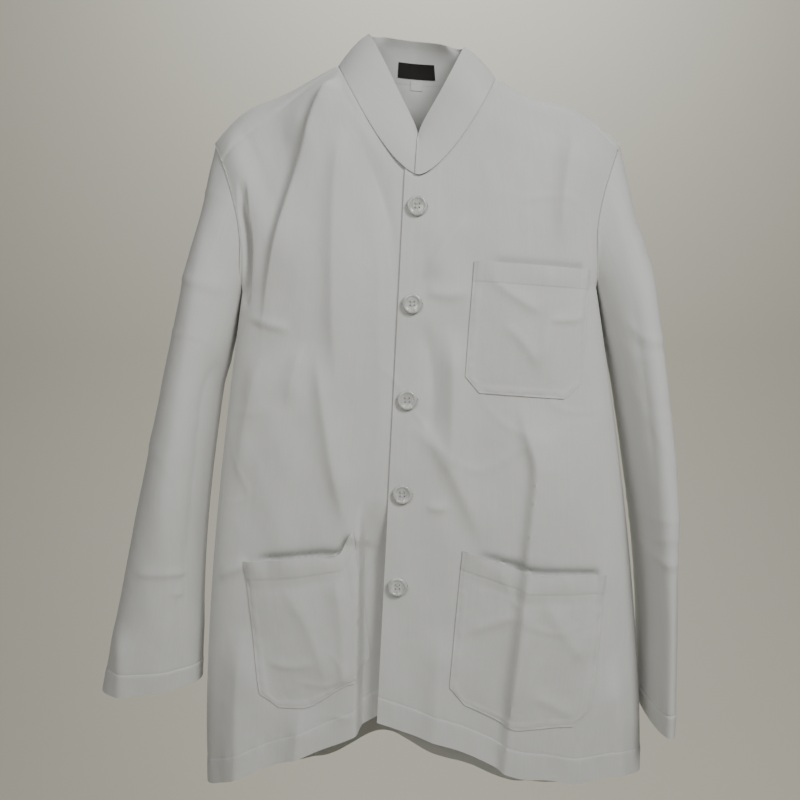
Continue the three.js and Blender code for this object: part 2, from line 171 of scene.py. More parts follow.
# %% [markdown]
# ## Folds
# A fold in hanging cloth is a ridge that follows a line. Seen in section it is seldom even: the cloth
# drops sharply on one side and runs out gently on the other, which is what makes one edge of it dark. So a
# fold here is a smooth line on the coat, a height, and a width on each side, and it fades out at its ends.
# A valley is a fold of negative height. The crest's exponent, 1.45, lies between a soft bell (2) and a
# sharp tent (1), because pressed polyester-cotton creases crisply. Small random waves, longer down the
# cloth than across it, and short creases in patches stand for the rest of the drape.

# %% Fold and noise helpers
FOLD_CREST = 1.45


def smooth_path(points, steps=14):
    """A curve through given points, closely stepped."""
    p = np.array(points, float)
    p = np.vstack([2 * p[0] - p[1], p, 2 * p[-1] - p[-2]])
    t = np.linspace(0, 1, steps, endpoint=False)[:, None]
    spans = [
        0.5 * (2 * b + (c - a) * t + (2 * a - 5 * b + 4 * c - d) * t ** 2 + (3 * b - a - 3 * c + d) * t ** 3)
        for a, b, c, d in zip(p, p[1:], p[2:], p[3:])
    ]
    return np.vstack(spans + [p[-2]])


def fold(x, z, path, height, left, right, fade=(0.3, 0.3)):
    """Height of one fold at each point. left and right are its widths on the two sides of its line."""
    line = smooth_path(path)
    tangent = np.gradient(line, axis=0)
    tangent /= np.linalg.norm(tangent, axis=1)[:, None]
    near = np.argmin((x[..., None] - line[:, 0]) ** 2 + (z[..., None] - line[:, 1]) ** 2, axis=-1)
    across, down = x - line[near, 0], z - line[near, 1]
    side = tangent[near, 0] * down - tangent[near, 1] * across
    step = np.linalg.norm(np.diff(line, axis=0), axis=1).mean()
    along = near + (tangent[near, 0] * across + tangent[near, 1] * down) / step
    along = along / (len(line) - 1)
    ends = np.ones_like(x)
    if fade[0] > 0:
        ends *= smooth(along, 0, fade[0])
    if fade[1] > 0:
        ends *= smooth(1 - along, 0, fade[1])
    return height * ends * np.exp(-np.abs(side / np.where(side < 0, left, right)) ** FOLD_CREST)


def waves(x, z, width, length, seed):
    """Even random waves from -1 to 1, about width across and length down."""
    table = np.random.default_rng(seed).uniform(-1, 1, (97, 97))
    u, v = x / width + 500, z / length + 500
    i, j = np.floor(u).astype(int), np.floor(v).astype(int)
    s, t = smooth(u - i), smooth(v - j)
    i0, i1, j0, j1 = i % 97, (i + 1) % 97, j % 97, (j + 1) % 97
    return lerp(lerp(table[i0, j0], table[i1, j0], s), lerp(table[i0, j1], table[i1, j1], s), t)


def drape(x, z, seed):
    """The small uneven waves of hanging cloth, in millimetres."""
    broad = 1.7 * waves(x, z, 46, 190, seed) + 0.9 * waves(x + 0.25 * z, z, 24, 90, seed + 1)
    crumple = np.clip(1 - 5 * np.abs(waves(x + 0.5 * z, z, 70, 46, seed + 4)), 0, 1) ** 2
    patches = smooth(waves(x, z, 90, 90, seed + 5), 0.0, 0.6)
    fine = 0.35 * waves(x - 0.4 * z, z, 13, 30, seed + 2) + 0.12 * waves(x, z, 6, 8, seed + 3)
    return broad + fine + 0.9 * crumple * patches


print("a fold 10 mm high, 8 mm from its line:", round(float(fold(
    np.array([8.0]), np.array([-50.0]), [(0, 0), (0, -100)], 10, 5, 20)[0]), 2), "mm")

# %% [markdown]
# ## Where the folds of this coat are
# The hanger holds the neck, so on the wearer's right a big fold hangs from the collar's side, and the
# overlap pulls a groove towards the second button. Lower down, the right front bends sharply backwards and
# goes in behind the left one, which leaves a shadowed strip. On the wearer's left the cloth is tighter,
# with a step that runs down from the chest pocket through the hip pocket to the hem. Each fold is listed
# as (path, height, width left, width right, fade). A big crease is listed twice on one path: a narrow
# step, and a broad swelling under it.

# %% The folds, in millimetres
NECK_CREASE = [(-80, -8), (-104, -50), (-119, -90), (-138, -145), (-152, -204), (-164, -280)]
STEP_CREASE = [
    (96, -320), (106, -362), (115, -400), (110, -460), (104, -520), (98, -580), (90, -650), (78, -760),
]
RIGHT_FOLDS = [
    (NECK_CREASE, 12, 3.5, 46, (0.1, 0.4)),
    (NECK_CREASE, 2.5, 34, 50, (0.15, 0.4)),
    ([(-192, -98), (-150, -76), (-108, -60)], -10, 48, 26, (0.3, 0.4)),
    ([(-67, -50), (-83, -107), (-88, -244), (-82, -346)], 7, 10, 26, (0.3, 0.4)),
    ([(-65, -57), (-41, -112), (-25, -161), (-21, -205)], -6.2, 10, 13, (0.3, 0.3)),
    ([(-109, -264), (-100, -330), (-91, -397), (-75, -471)], 7, 8, 22, (0.3, 0.3)),
    ([(-119, -264), (-128, -300), (-138, -335)], 4.7, 10, 7, (0.4, 0.4)),
    ([(-179, -241), (-154, -249), (-128, -256)], 3.1, 2.2, 5, (0.3, 0.3)),
    ([(-64, -425), (-66, -503), (-69, -584), (-73, -700)], 9, 46, 3.5, (0.3, 0)),
    ([(-221, -517), (-200, -506), (-178, -494)], 3.9, 5, 8, (0.3, 0.3)),
    ([(-156, -264), (-179, -345), (-197, -448)], 6.2, 15, 30, (0.3, 0.4)),
    ([(-39, -156), (-34, -295), (-43, -424)], 4.7, 9, 14, (0.3, 0.3)),
    ([(-190, -560), (-196, -650), (-200, -770)], 9.3, 16, 26, (0.4, 0)),
    ([(-128, -640), (-134, -700), (-140, -770)], 7.8, 14, 20, (0.4, 0)),
]
LEFT_FOLDS = [
    (STEP_CREASE, 9, 5, 56, (0.3, 0)),
    (STEP_CREASE, 3.5, 48, 60, (0.3, 0)),
    ([(30, -250), (33, -300), (32, -347), (29, -430)], 7, 12, 14, (0.3, 0.3)),
    ([(0, -240), (12, -306), (8, -398)], -4.7, 12, 12, (0.3, 0.3)),
    ([(156, -63), (146, -119), (141, -186)], 6.2, 9, 20, (0.3, 0.4)),
    ([(-11, -346), (29, -399), (65, -483)], 4.7, 8, 18, (0.3, 0.3)),
    ([(52, -136), (25, -172), (2, -208)], 3.9, 8, 14, (0.3, 0.3)),
    ([(4, -217), (28, -221), (56, -219)], 2.8, 5, 8, (0.2, 0.4)),
    ([(4, -436), (16, -439), (30, -438)], 2.3, 4, 7, (0.2, 0.4)),
    ([(179, -77), (186, -182), (192, -269), (202, -390)], 4.7, 10, 12, (0.3, 0.4)),
    ([(20, -560), (14, -620), (8, -700)], 6.2, 16, 22, (0.4, 0)),
    ([(196, -600), (204, -680), (208, -770)], 7.8, 20, 16, (0.4, 0)),
]
BACK_FOLDS = [
    ([(-118, -50), (-104, -260), (-112, -500), (-132, -790)], 8, 20, 42, (0.25, 0)),
    ([(112, -60), (92, -280), (104, -520), (126, -790)], 8, 42, 20, (0.25, 0)),
    ([(-8, -120), (6, -360), (-14, -600), (-20, -790)], -9.3, 34, 30, (0.4, 0)),
    ([(60, -40), (44, -180), (30, -330)], 6.2, 12, 24, (0.2, 0.5)),
    ([(-56, -40), (-48, -190), (-40, -320)], 6.2, 24, 12, (0.2, 0.5)),
    ([(182, -250), (176, -420), (192, -600), (204, -790)], 9.3, 26, 14, (0.4, 0)),
    ([(-180, -250), (-172, -440), (-190, -620), (-206, -790)], 9.3, 14, 26, (0.4, 0)),
]


def fold_sum(x, z, folds):
    """Height of all the folds of a list together."""
    return sum(fold(x, z, *line) for line in folds)


print("folds set:", len(RIGHT_FOLDS), "right,", len(LEFT_FOLDS), "left,", len(BACK_FOLDS), "back")

# %% [markdown]
# A hung coat is never even. The neck tilts on its hanger, the hanger's ends push the shoulders up, the
# fronts rise at the side seams and the back's hem is drawn up in the middle. These moves are up or down,
# so they are kept apart from the folds. Front and back have to move together where they are sewn.

# %% How the hung cloth slips
def settle(x, z, face):
    """How far the hung cloth has slipped up or down, in millimetres."""
    tilt = -0.09 * x * smooth(z, -150, -20) * (1 - smooth(np.abs(x), 90, 205))
    shoulders = 17 * np.exp(-((x + 180) / 36) ** 2) + 14 * np.exp(-((x - 160) / 40) ** 2)
    shoulders = shoulders * smooth(z, -140, -60)
    low = smooth(-z, 560, 770)
    if face > 0:
        hem = 46 * np.exp(-((x + 42) / 52) ** 2) - 31 * smooth(x, 40, 120) * smooth(HEM_HALF - x, 0, 60)
        hem = hem + 17 * smooth(-x, 180, HEM_HALF) + 26 * smooth(x, 180, HEM_HALF)
    else:
        right_rise = 17 * smooth(-x, 50, 190)
        left_rise = 26 * smooth(x, 150, 214)
        hem = right_rise + left_rise - 9 * np.exp(-((x - 92) / 36) ** 2)
    return tilt + shoulders + hem * low


print("the left shoulder is pushed up", round(float(settle(np.float64(160), np.float64(-40), -1)), 1), "mm")

# %% [markdown]
# ## Seams and hems
# Sewing shows in relief. A turned-up hem is twice as thick as the cloth, and its stitching draws in a fine
# groove with small puckers. The collar's seam is a groove, and at the shoulder the back's edge laps over
# the front as a small step, a little forward of the shoulder's top. Beside the right armhole the front is
# tucked in.

# %% Relief of seams and hems
SEAM_FORWARD = {"left": (3.0, 9.0), "right": (5.0, 27.0)}
TUCK_X, TUCK_HALF, TUCK_DEPTH = 178.0, 4.2, 14.0


def seam_hold(x, z, face):
    """1 on open cloth and 0 at the seams, which keep the cloth where it is sewn."""
    side = smooth(panel_half(z) - np.abs(x), 0, 30)
    top = smooth(top_edge(x, face) - z, 0, 22)
    return side * top


def hem_relief(x, z, face, seed):
    """A turned-up hem: thicker below its stitching, with a groove and small puckers along the stitches."""
    up = z - hem_line(x, face)
    double = 0.45 * smooth(HEM_TURN + 0.4 - up, 0, 1.0)
    groove = -0.25 * np.exp(-((up - HEM_TURN) / 1.4) ** 2)
    pucker = 0.5 * waves(x, z, 7, 30, seed) * np.exp(-((up - HEM_TURN) / 9) ** 2)
    return double + groove + pucker


def top_relief(part, x, z):
    """The collar's groove, the shoulder seam's step and the tuck beside the right armhole."""
    down = top_edge(x, -1) - z
    neck = -1.3 * np.exp(-(down / 3.0) ** 2) * smooth(NECK_HALF - np.abs(x), -1, 2)
    near, far = SEAM_FORWARD[part]
    seam = lerp(near, far, np.clip((np.abs(x) - 84) / 122, 0, 1) ** 1.3)
    step = 1.2 * smooth(seam - down, -0.6, 0.6) - 0.7 * np.exp(-((down - seam - 1) / 1.6) ** 2)
    ridge = neck + step * smooth(np.abs(x), NECK_HALF, NECK_HALF + 4)
    if part == "right":
        beside = np.minimum(panel_half(z) - 7, TUCK_X) + x
        tuck = TUCK_DEPTH * np.exp(-(beside / TUCK_HALF) ** 4)
        ridge = ridge - tuck * smooth(z, -235, -200) * smooth(-z, 105, 150)
    return ridge


sample = hem_relief(np.float64(50.0), hem_line(np.float64(50.0), -1) + HEM_TURN / 2, -1, 42)
print("a hem stands", round(float(sample), 2), "mm proud")

# %% [markdown]
# ## Where the pockets are
# The pockets are placed before the cloth is made, because the front falls back behind each open mouth. A
# pocket is placed by its margin from the side seam, as a tailor marks it. A hanging front also pulls a
# pocket out of true: the mouth of the right one climbs into the fold at its inner side, and the left one
# bends at the step.

# %% Pocket places
POCKETS = {
    "chest_pocket": dict(part="left", side=1, margin=24.7, z=-258, width=118, height=132, chamfer=16,
                         tilt=-0.085, bulge=5, gap=4.0, dip=3.0),
    "left_hip_pocket": dict(part="left", side=1, margin=49.9, z=-587, width=150, height=164, chamfer=18,
                            tilt=-0.1, bulge=5, gap=8.0, dip=6.0, lift=15),
    "right_hip_pocket": dict(part="right", side=-1, margin=53.5, z=-570, width=116, height=164, chamfer=18,
                             tilt=0.1, bulge=6, gap=9.0, dip=7.0, pull=(26, 22)),
}


BEND_SHARE = 0.45


def pocket_place(spec, u, v):
    """x and z on the smooth body of a share across and a share up the pocket."""
    narrowing = spec["chamfer"] * np.clip(1 - v * spec["height"] / spec["chamfer"], 0, 1)
    along = (u - 0.5) * (spec["width"] - 2 * narrowing)
    up = (v - 0.5) * spec["height"]
    centre = spec["side"] * (float(profile_half(np.float64(spec["z"]))) - spec["margin"] - spec["width"] / 2)
    x = centre + along * math.cos(spec["tilt"]) - up * math.sin(spec["tilt"])
    z = spec["z"] + along * math.sin(spec["tilt"]) + up * math.cos(spec["tilt"])
    low_pull, high_pull = spec.get("pull", (0, 0))
    z = z + (1 - v) * low_pull * smooth(u, 0.3, 1) + v * high_pull * smooth(u, 0.86, 1)
    z = z + spec.get("lift", 0) * np.clip(1 - u / BEND_SHARE, 0, 1)
    return x, z


def mouth_dip(part, x, z):
    """The front falls back behind the mouth of each pocket sewn to it, so the mouth stands open."""
    dip = np.zeros_like(x)
    for spec in POCKETS.values():
        if spec["part"] == part:
            across = np.array([0.06, 0.3, 0.5, 0.7, 0.86, 0.97])
            mouth_x, mouth_z = pocket_place(spec, across, np.float64(1.0))
            path = list(zip(mouth_x.tolist(), mouth_z.tolist()))
            dip = dip + fold(x, z, path, -spec["dip"], 20, 4, (0.15, 0.1))
    return dip


print("pockets placed:", ", ".join(POCKETS))

# %% [markdown]
# ## A point on the cloth
# Everything on the coat asks one function for its place: the panels, the pockets, the stitches and the
# facings. It takes a point of the smooth body, slips it up or down, and lifts it along the body's normal
# by all the reliefs together. So whatever lies on the cloth follows each fold of it. A button holds the
# cloth under it still.

# %% Relief and cloth point
OVERLAP_GAP, GAP_TOP, GAP_FULL = 15.0, -425.0, -510.0
GAP_EDGE, GAP_LEAN = -62, 0.03
BUTTON_CALM = 15.0


def relief(part, x, z):
    """How far the cloth of one part stands off the smooth body, in millimetres."""
    if part == "back":
        behind = fold_sum(x, z, BACK_FOLDS) + 1.3 * drape(x, z, 31)
        return seam_hold(x, z, 1) * behind + hem_relief(x, z, 1, 41)
    left = fold_sum(x, z, LEFT_FOLDS) + drape(x, z, 11)
    mouths = mouth_dip(part, x, z)
    own = left
    if part == "right":
        own = fold_sum(x, z, RIGHT_FOLDS) + drape(x, z, 21)
        edge = left_edge(z)
        under = smooth(x, edge - 24, edge - 2)
        own = lerp(own, left, under)
    calm = np.ones_like(x)
    for i in range(BUTTON_COUNT):
        z_button = BUTTON_TOP - BUTTON_PITCH * i
        away = (x - left_edge(z_button) - STAND) ** 2 + (z - z_button) ** 2
        calm *= 1 - np.exp(-away / BUTTON_CALM ** 2)
    total = seam_hold(x, z, -1) * calm * own + mouths + hem_relief(x, z, -1, 42) + top_relief(part, x, z)
    if part == "right":
        edge = left_edge(z)
        gap_edge = GAP_EDGE - GAP_LEAN * (GAP_TOP - z)
        recess = OVERLAP_GAP * smooth(-z, -GAP_TOP, -GAP_FULL) * smooth(x - gap_edge, -0.5, 3.5)
        total = total - recess - UNDERLAP * smooth(x, edge - 30, edge)
    return total


def cloth_point(part, x, z, lift=0.0):
    """A point on the draped cloth, or lift millimetres off it. x and z are arrays on the smooth body."""
    face = 1 if part == "back" else -1
    step = 0.5
    x, z = np.broadcast_arrays(np.asarray(x, float), np.asarray(z, float))
    slope_x = (body_y(x + step, z, face) - body_y(x - step, z, face)) / (2 * step)
    slope_z = (body_y(x, z + step, face) - body_y(x, z - step, face)) / (2 * step)
    slope_x, slope_z = np.clip(slope_x, -12, 12), np.clip(slope_z, -1.2, 1.2)
    normal = np.stack([-face * slope_x, np.full_like(x, face), -face * slope_z], axis=-1)
    normal /= np.linalg.norm(normal, axis=-1)[..., None]
    base = np.stack([x, body_y(x, z, face), z + settle(x, z, face)], axis=-1)
    return base + normal * (relief(part, x, z) + lift)[..., None]


print("cloth at the first button, y in mm:", cloth_point("left", BUTTON_LINE, BUTTON_TOP)[1].round(1))

# %% [markdown]
# ## From a grid of points to a sheet of cloth
# Cloth could be a single surface with a Solidify modifier. Here each piece is a grid of points, so its
# inner side can be made at the same time: each point goes a cloth's thickness back along its normal, and a
# narrow wall closes the rim. The result is one closed thin shell, which is what a cut piece of cloth is.
# Its UV map is the flat piece in metres, so that threads run along the cloth whichever way it hangs.

# %% Shell helper
SHARP_RIM = math.radians(48)


def grid_normals(points, ring):
    """Unit normals of a grid of points. A ring is a grid whose last column joins its first."""
    if ring:
        wrapped = np.concatenate([points[:, -1:], points, points[:, :1]], axis=1)
        across = (wrapped[:, 2:] - wrapped[:, :-2])
    else:
        across = np.gradient(points, axis=1)
    up = np.gradient(points, axis=0)
    normal = np.cross(across, up)
    return normal / np.maximum(np.linalg.norm(normal, axis=-1), 1e-9)[..., None]


def flat_lengths(points):
    """Distance along each row and up each column, in metres: the piece laid flat."""
    along = np.linalg.norm(np.diff(points, axis=1), axis=-1)
    up = np.linalg.norm(np.diff(points, axis=0), axis=-1)
    u = np.concatenate([np.zeros((len(points), 1)), np.cumsum(along, axis=1)], axis=1)
    v = np.concatenate([np.zeros((1, points.shape[1])), np.cumsum(up, axis=0)], axis=0)
    return u * MM, v * MM


def shell(name, points, thickness=CLOTH, ring=False, material=None, uv=None):
    """A closed sheet. points is rows by columns by 3, in millimetres. Rows go up, and columns run so that the
    cross product of a step along a row and a step up points outwards."""
    rows, columns = points.shape[:2]
    inner = points - grid_normals(points, ring) * thickness
    u, v = flat_lengths(points) if uv is None else uv
    vertices = np.concatenate([points.reshape(-1, 3), inner.reshape(-1, 3)]) * MM
    index = np.arange(rows * columns).reshape(rows, columns)
    back = index + rows * columns
    right = np.roll(index, -1, axis=1) if ring else index[:, 1:]
    here = index if ring else index[:, :-1]
    right_back = right + rows * columns
    here_back = here + rows * columns

    def quads(a, b, c, d):
        return np.stack([a, b, c, d], axis=-1).reshape(-1, 4)

    faces = [
        quads(here[:-1], right[:-1], right[1:], here[1:]),
        quads(here_back[:-1], here_back[1:], right_back[1:], right_back[:-1]),
        quads(here[0], here_back[0], right_back[0], right[0]),
        quads(here[-1], right[-1], right_back[-1], here_back[-1]),
    ]
    if not ring:
        faces.append(quads(index[:-1, 0], index[1:, 0], back[1:, 0], back[:-1, 0]))
        faces.append(quads(index[:-1, -1], back[:-1, -1], back[1:, -1], index[1:, -1]))
    faces = np.concatenate(faces)
    mesh = bpy.data.meshes.new(name)
    mesh.from_pydata(vertices.tolist(), [], faces.tolist())
    flat = np.stack([u, v], axis=-1).reshape(-1, 2)
    flat = np.concatenate([flat, flat])
    layer = mesh.uv_layers.new(name="cloth")
    layer.data.foreach_set("uv", flat[faces.reshape(-1)].astype(np.float32).reshape(-1))
    mesh.shade_smooth()
    mesh.set_sharp_from_angle(angle=SHARP_RIM)
    piece = bpy.data.objects.new(name, mesh)
    bpy.context.scene.collection.objects.link(piece)
    if material:
        mesh.materials.append(material)
    return piece


def finish_cloth(piece, body, nodes, flat):
    """Ties a piece of cloth to its body, if it has one, hides the nodes it stands for and prints the size it
    was cut to.
    """
    if body:
        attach(piece, body)
    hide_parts(*nodes)
    print(piece.name, len(piece.data.polygons), "faces, cut", [round(side, 3) for side in flat], "m")


# %% [markdown]
# ## Materials
# A small helper adds a node, sets its values and links it, and one function turns an sRGB hex colour to
# the linear colour that the shader wants.

# %% Material helpers
def linear(hex_colour):
    """An sRGB hex colour as the linear colour that a shader takes."""
    values = [int(hex_colour[i:i + 2], 16) / 255 for i in (1, 3, 5)]
    return [v / 12.92 if v <= 0.04045 else ((v + 0.055) / 1.055) ** 2.4 for v in values] + [1.0]


def node(tree, kind, settings=None, inputs=None, links=None):
    """Adds one node. inputs sets its sockets' values, and links joins them to other nodes' outputs."""
    made = tree.nodes.new(kind)
    for key, value in (settings or {}).items():
        setattr(made, key, value)
    for key, value in (inputs or {}).items():
        made.inputs[key].default_value = value
    for key, output in (links or {}).items():
        tree.links.new(output, made.inputs[key])
    return made


def new_material(name):
    """An empty material, with its node tree and its shader."""
    material = bpy.data.materials.new(name)
    material.use_nodes = True
    tree = material.node_tree
    shader = tree.nodes["Principled BSDF"]
    return material, tree, shader


# %% [markdown]
# ### White polyester-cotton poplin
# Coat cloth is a close plain weave of about 25 threads to the centimetre, pressed flat. Up close it has
# fine upright lines where the warp is a little uneven, and a faint silky sheen. The real thread spacing,
# 0.4 mm, is finer than the picture can show, so the weave is drawn at 1.2 mm, and the uneven warp as
# streaks 2.5 mm wide.

# %% Cloth material
WEAVE_DRAWN = 0.0012
SLUB_WIDTH = 0.0025
SLUB_LENGTH = 0.09


def cloth_material(name, colour, shade, weave=WEAVE_DRAWN, strength=0.22, roughness=0.62, sheen=0.2):
    """Woven cloth: two crossed waves for the threads, and long streaks for the uneven warp."""
    material, tree, shader = new_material(name)
    place = node(tree, "ShaderNodeUVMap", {"uv_map": "cloth"}).outputs["UV"]
    across = node(tree, "ShaderNodeMapping", inputs={"Scale": (1 / SLUB_WIDTH, 1 / SLUB_LENGTH, 1)},
                  links={"Vector": place}).outputs["Vector"]
    slub = node(tree, "ShaderNodeTexNoise", inputs={"Scale": 1.0, "Detail": 3.0, "Roughness": 0.6},
                links={"Vector": across}).outputs["Fac"]
    patch = node(tree, "ShaderNodeTexNoise", inputs={"Scale": 14.0, "Detail": 2.0},
                 links={"Vector": place}).outputs["Fac"]
    both = node(tree, "ShaderNodeMath", {"operation": "ADD"}, links={0: slub, 1: patch}).outputs[0]
    mix = node(tree, "ShaderNodeMapRange", inputs={"From Min": 0.5, "From Max": 1.5}, links={"Value": both})
    tint = node(tree, "ShaderNodeMix", {"data_type": "RGBA"}, links={"Factor": mix.outputs["Result"]})
    tint.inputs["A"].default_value = linear(shade)
    tint.inputs["B"].default_value = linear(colour)
    tree.links.new(tint.outputs["Result"], shader.inputs["Base Color"])

    threads = []
    for direction in ("X", "Y"):
        threads.append(node(tree, "ShaderNodeTexWave", {"bands_direction": direction, "wave_profile": "SIN"},
                            inputs={"Scale": 0.314 / weave, "Distortion": 0.6, "Detail": 1.0},
                            links={"Vector": place}).outputs["Fac"])
    weave_height = node(tree, "ShaderNodeMath", {"operation": "MULTIPLY"},
                        links={0: threads[0], 1: threads[1]}).outputs[0]
    uneven = node(tree, "ShaderNodeMath", {"operation": "MULTIPLY_ADD"}, inputs={1: 0.45},
                  links={0: slub, 2: weave_height}).outputs[0]
    bump = node(tree, "ShaderNodeBump", inputs={"Strength": strength, "Distance": 0.0004},
                links={"Height": uneven}).outputs["Normal"]
    tree.links.new(bump, shader.inputs["Normal"])
    shine = node(tree, "ShaderNodeMapRange", inputs={"To Min": roughness + 0.08, "To Max": roughness - 0.08},
                 links={"Value": slub}).outputs["Result"]
    tree.links.new(shine, shader.inputs["Roughness"])
    shader.inputs["Sheen Weight"].default_value = sheen
    shader.inputs["Sheen Roughness"].default_value = 0.4
    shader.inputs["Specular IOR Level"].default_value = 0.35
    return material


poplin = cloth_material("white_polyester_cotton_poplin", "#dcdcd9", "#d2d2cf")
print("cloth material", poplin.name)

# %% [markdown]
# ### Thread, resin and label
# Buttons and hems are sewn with spun polyester thread, twisted from two plies, which is a little whiter
# and duller than the cloth.

# %% Thread material
def thread_material():
    """Two-ply thread, drawn as fine spots of light and shade."""
    material, tree, shader = new_material("spun_polyester_thread")
    place = node(tree, "ShaderNodeTexCoord").outputs["Object"]
    twist = node(tree, "ShaderNodeTexNoise", inputs={"Scale": 2500.0, "Detail": 1.0}, links={"Vector": place})
    tint = node(tree, "ShaderNodeMix", {"data_type": "RGBA"}, links={"Factor": twist.outputs["Fac"]})
    tint.inputs["A"].default_value = linear("#cfcfcb")
    tint.inputs["B"].default_value = linear("#e4e4e0")
    tree.links.new(tint.outputs["Result"], shader.inputs["Base Color"])
    bump = node(tree, "ShaderNodeBump", inputs={"Strength": 0.4, "Distance": 0.0001},
                links={"Height": twist.outputs["Fac"]})
    tree.links.new(bump.outputs["Normal"], shader.inputs["Normal"])
    shader.inputs["Roughness"].default_value = 0.75
    shader.inputs["Sheen Weight"].default_value = 0.2
    return material


thread = thread_material()

# %% [markdown]
# Shirt buttons like these are cast polyester resin that imitates shell: pearl pigment settles in streaks
# while the sheet sets, so each blank shows light and grey bands, and the polished face is glossy.

# %% Pearl resin material
def pearl_material():
    """Cast resin with streaks of pearl pigment under a polished face."""
    material, tree, shader = new_material("cast_pearl_polyester_resin")
    place = node(tree, "ShaderNodeTexCoord").outputs["Object"]
    stretch = {"Rotation": (0.0, 0.7, 0.0), "Scale": (330.0, 90.0, 90.0)}
    turned = node(tree, "ShaderNodeMapping", inputs=stretch, links={"Vector": place}).outputs["Vector"]
    streak = node(tree, "ShaderNodeTexNoise", inputs={"Scale": 1.0, "Detail": 3.0, "Distortion": 1.2},
                  links={"Vector": turned}).outputs["Fac"]
    ramp = node(tree, "ShaderNodeValToRGB", links={"Fac": streak})
    ramp.color_ramp.elements[0].position = 0.34
    ramp.color_ramp.elements[0].color = linear("#b9bab6")
    ramp.color_ramp.elements[1].position = 0.66
    ramp.color_ramp.elements[1].color = linear("#dcddd9")
    tree.links.new(ramp.outputs["Color"], shader.inputs["Base Color"])
    shader.inputs["Roughness"].default_value = 0.2
    shader.inputs["IOR"].default_value = 1.55
    shader.inputs["Coat Weight"].default_value = 0.4
    shader.inputs["Coat Roughness"].default_value = 0.08
    shader.inputs["Subsurface Weight"].default_value = 0.05
    shader.inputs["Subsurface Scale"].default_value = 0.001
    return material


pearl = pearl_material()
TAG_WEAVE = 0.0006
label_cloth = cloth_material("black_damask_label", "#1d1a16", "#12100d", TAG_WEAVE, 0.5, roughness=0.5)
tape_cloth = cloth_material("white_satin_tape", "#e8e8e4", "#dcdcd8", TAG_WEAVE, 0.4, roughness=0.4)
print("materials:", ", ".join(sorted(m.name for m in bpy.data.materials)))

# %% [markdown]
# ## Back and fronts
# The back and the two fronts hang from the shoulder and neck seams down to the hem. Each is a grid between
# its two side lines, with extra rows close together along the hem's stitching and the shoulder seam and
# extra columns at the free edge, because detail needs points to bend at.

# %% Panel grid
HEM_ROWS = np.array([
    0, 0.8, 3, 7, 11, 15, 19, 22.5, 25.2, 26.8, 27.6, 28, 28.5, 29.2, 30.6, 33, 37, 41, 46, 52, 58.0,
])
TOP_ROWS = np.array([
    33, 30, 27.5, 25.5, 23.5, 21.5, 19.5, 17.5, 15.5, 13.5, 11.5, 10, 8.5, 7, 5.5, 4, 2.5, 1.2, 0,
])


def panel_xz(face, low, high, shares, rows):
    """x and z of every point, found by stepping to the place where row and column cross."""
    hem_count = len(HEM_ROWS)
    upper = np.linspace(0, 1, rows)[1:]
    run = SHOULDER_TIP - TOP_ROWS[0] - SIDE_HEM - HEM_ROWS[-1]
    underarm_share = (UNDERARM - SIDE_HEM - HEM_ROWS[-1]) / run
    upper[np.argmin(np.abs(upper - underarm_share))] = underarm_share
    upper_count = hem_count + len(upper)
    x = np.zeros((upper_count + len(TOP_ROWS) - 1, len(shares)))
    z = np.full_like(x, UNDERARM)
    for _ in range(25):
        x = lerp(low(z), high(z), shares[None, :])
        start, end = hem_line(x, face), top_edge(x, face)
        middle = slice(hem_count, upper_count)
        z = np.concatenate([
            start[:hem_count] + HEM_ROWS[:, None],
            lerp(start[middle] + HEM_ROWS[-1], end[middle] - TOP_ROWS[0], upper[:, None]),
            end[upper_count:] - TOP_ROWS[1:, None],
        ])
    return x, z


def columns(count, crowd_low, crowd_high):
    """Shares from 0 to 1 that crowd towards either end."""
    t = np.linspace(0, 1, count)
    low, high = t ** crowd_low, 1 - (1 - t) ** crowd_high
    return lerp(low, high, t)


EDGE_COLUMNS = np.array([0, 0.003, 0.009, 0.02])
FRONT_COLUMNS, FRONT_ROWS = 112, 190
HALF_BACK_COLUMNS, BACK_ROWS = 58, 150

inner_columns = lerp(EDGE_COLUMNS[-1], 1, columns(FRONT_COLUMNS, 1.0, 1.5)[1:])
left_shares = np.concatenate([EDGE_COLUMNS, inner_columns])
x_left, z_left = panel_xz(-1, left_edge, panel_half, left_shares, FRONT_ROWS)
left_points = cloth_point("left", x_left, z_left)
left_front = shell("left_front_cloth", left_points, material=poplin)

right_shares = 1 - left_shares[::-1]
x_right, z_right = panel_xz(-1, lambda z: -panel_half(z), right_edge, right_shares, FRONT_ROWS)
right_points = cloth_point("right", x_right, z_right)
right_front = shell("right_front_cloth", right_points, material=poplin)

half = columns(HALF_BACK_COLUMNS, 1.0, 1.7) / 2
back_shares = np.concatenate([0.5 - half[::-1], 0.5 + half[1:]])
x_back, z_back = panel_xz(1, panel_half, lambda z: -panel_half(z), back_shares, BACK_ROWS)
back_points = cloth_point("back", x_back, z_back)
back = shell("back_cloth", back_points, material=poplin)
print("cloth points:", left_points.shape, right_points.shape, back_points.shape)

# %% [markdown]
# The facings are strips of the same cloth behind the two front edges. They hide the interlining, which is
# a layer fused to the cloth inside, so one strip stands for both.

# %% Facings
FACING_WIDTH, FACING_LENGTH = 45.0, 620.0
FACING_SETBACK = 1.5


def facing(name, part, low, high, nodes):
    """A strip of cloth behind a front, between two side lines."""
    shares = np.linspace(0, 1, 12)
    x, z = panel_xz(-1, low, high, shares, 150)
    points = cloth_point(part, x, z, lift=-FACING_DEPTH)
    strip = shell(name, points, thickness=0.4, material=poplin)
    finish_cloth(strip, "torso", nodes, (FACING_WIDTH * MM, FACING_LENGTH * MM))
    return strip


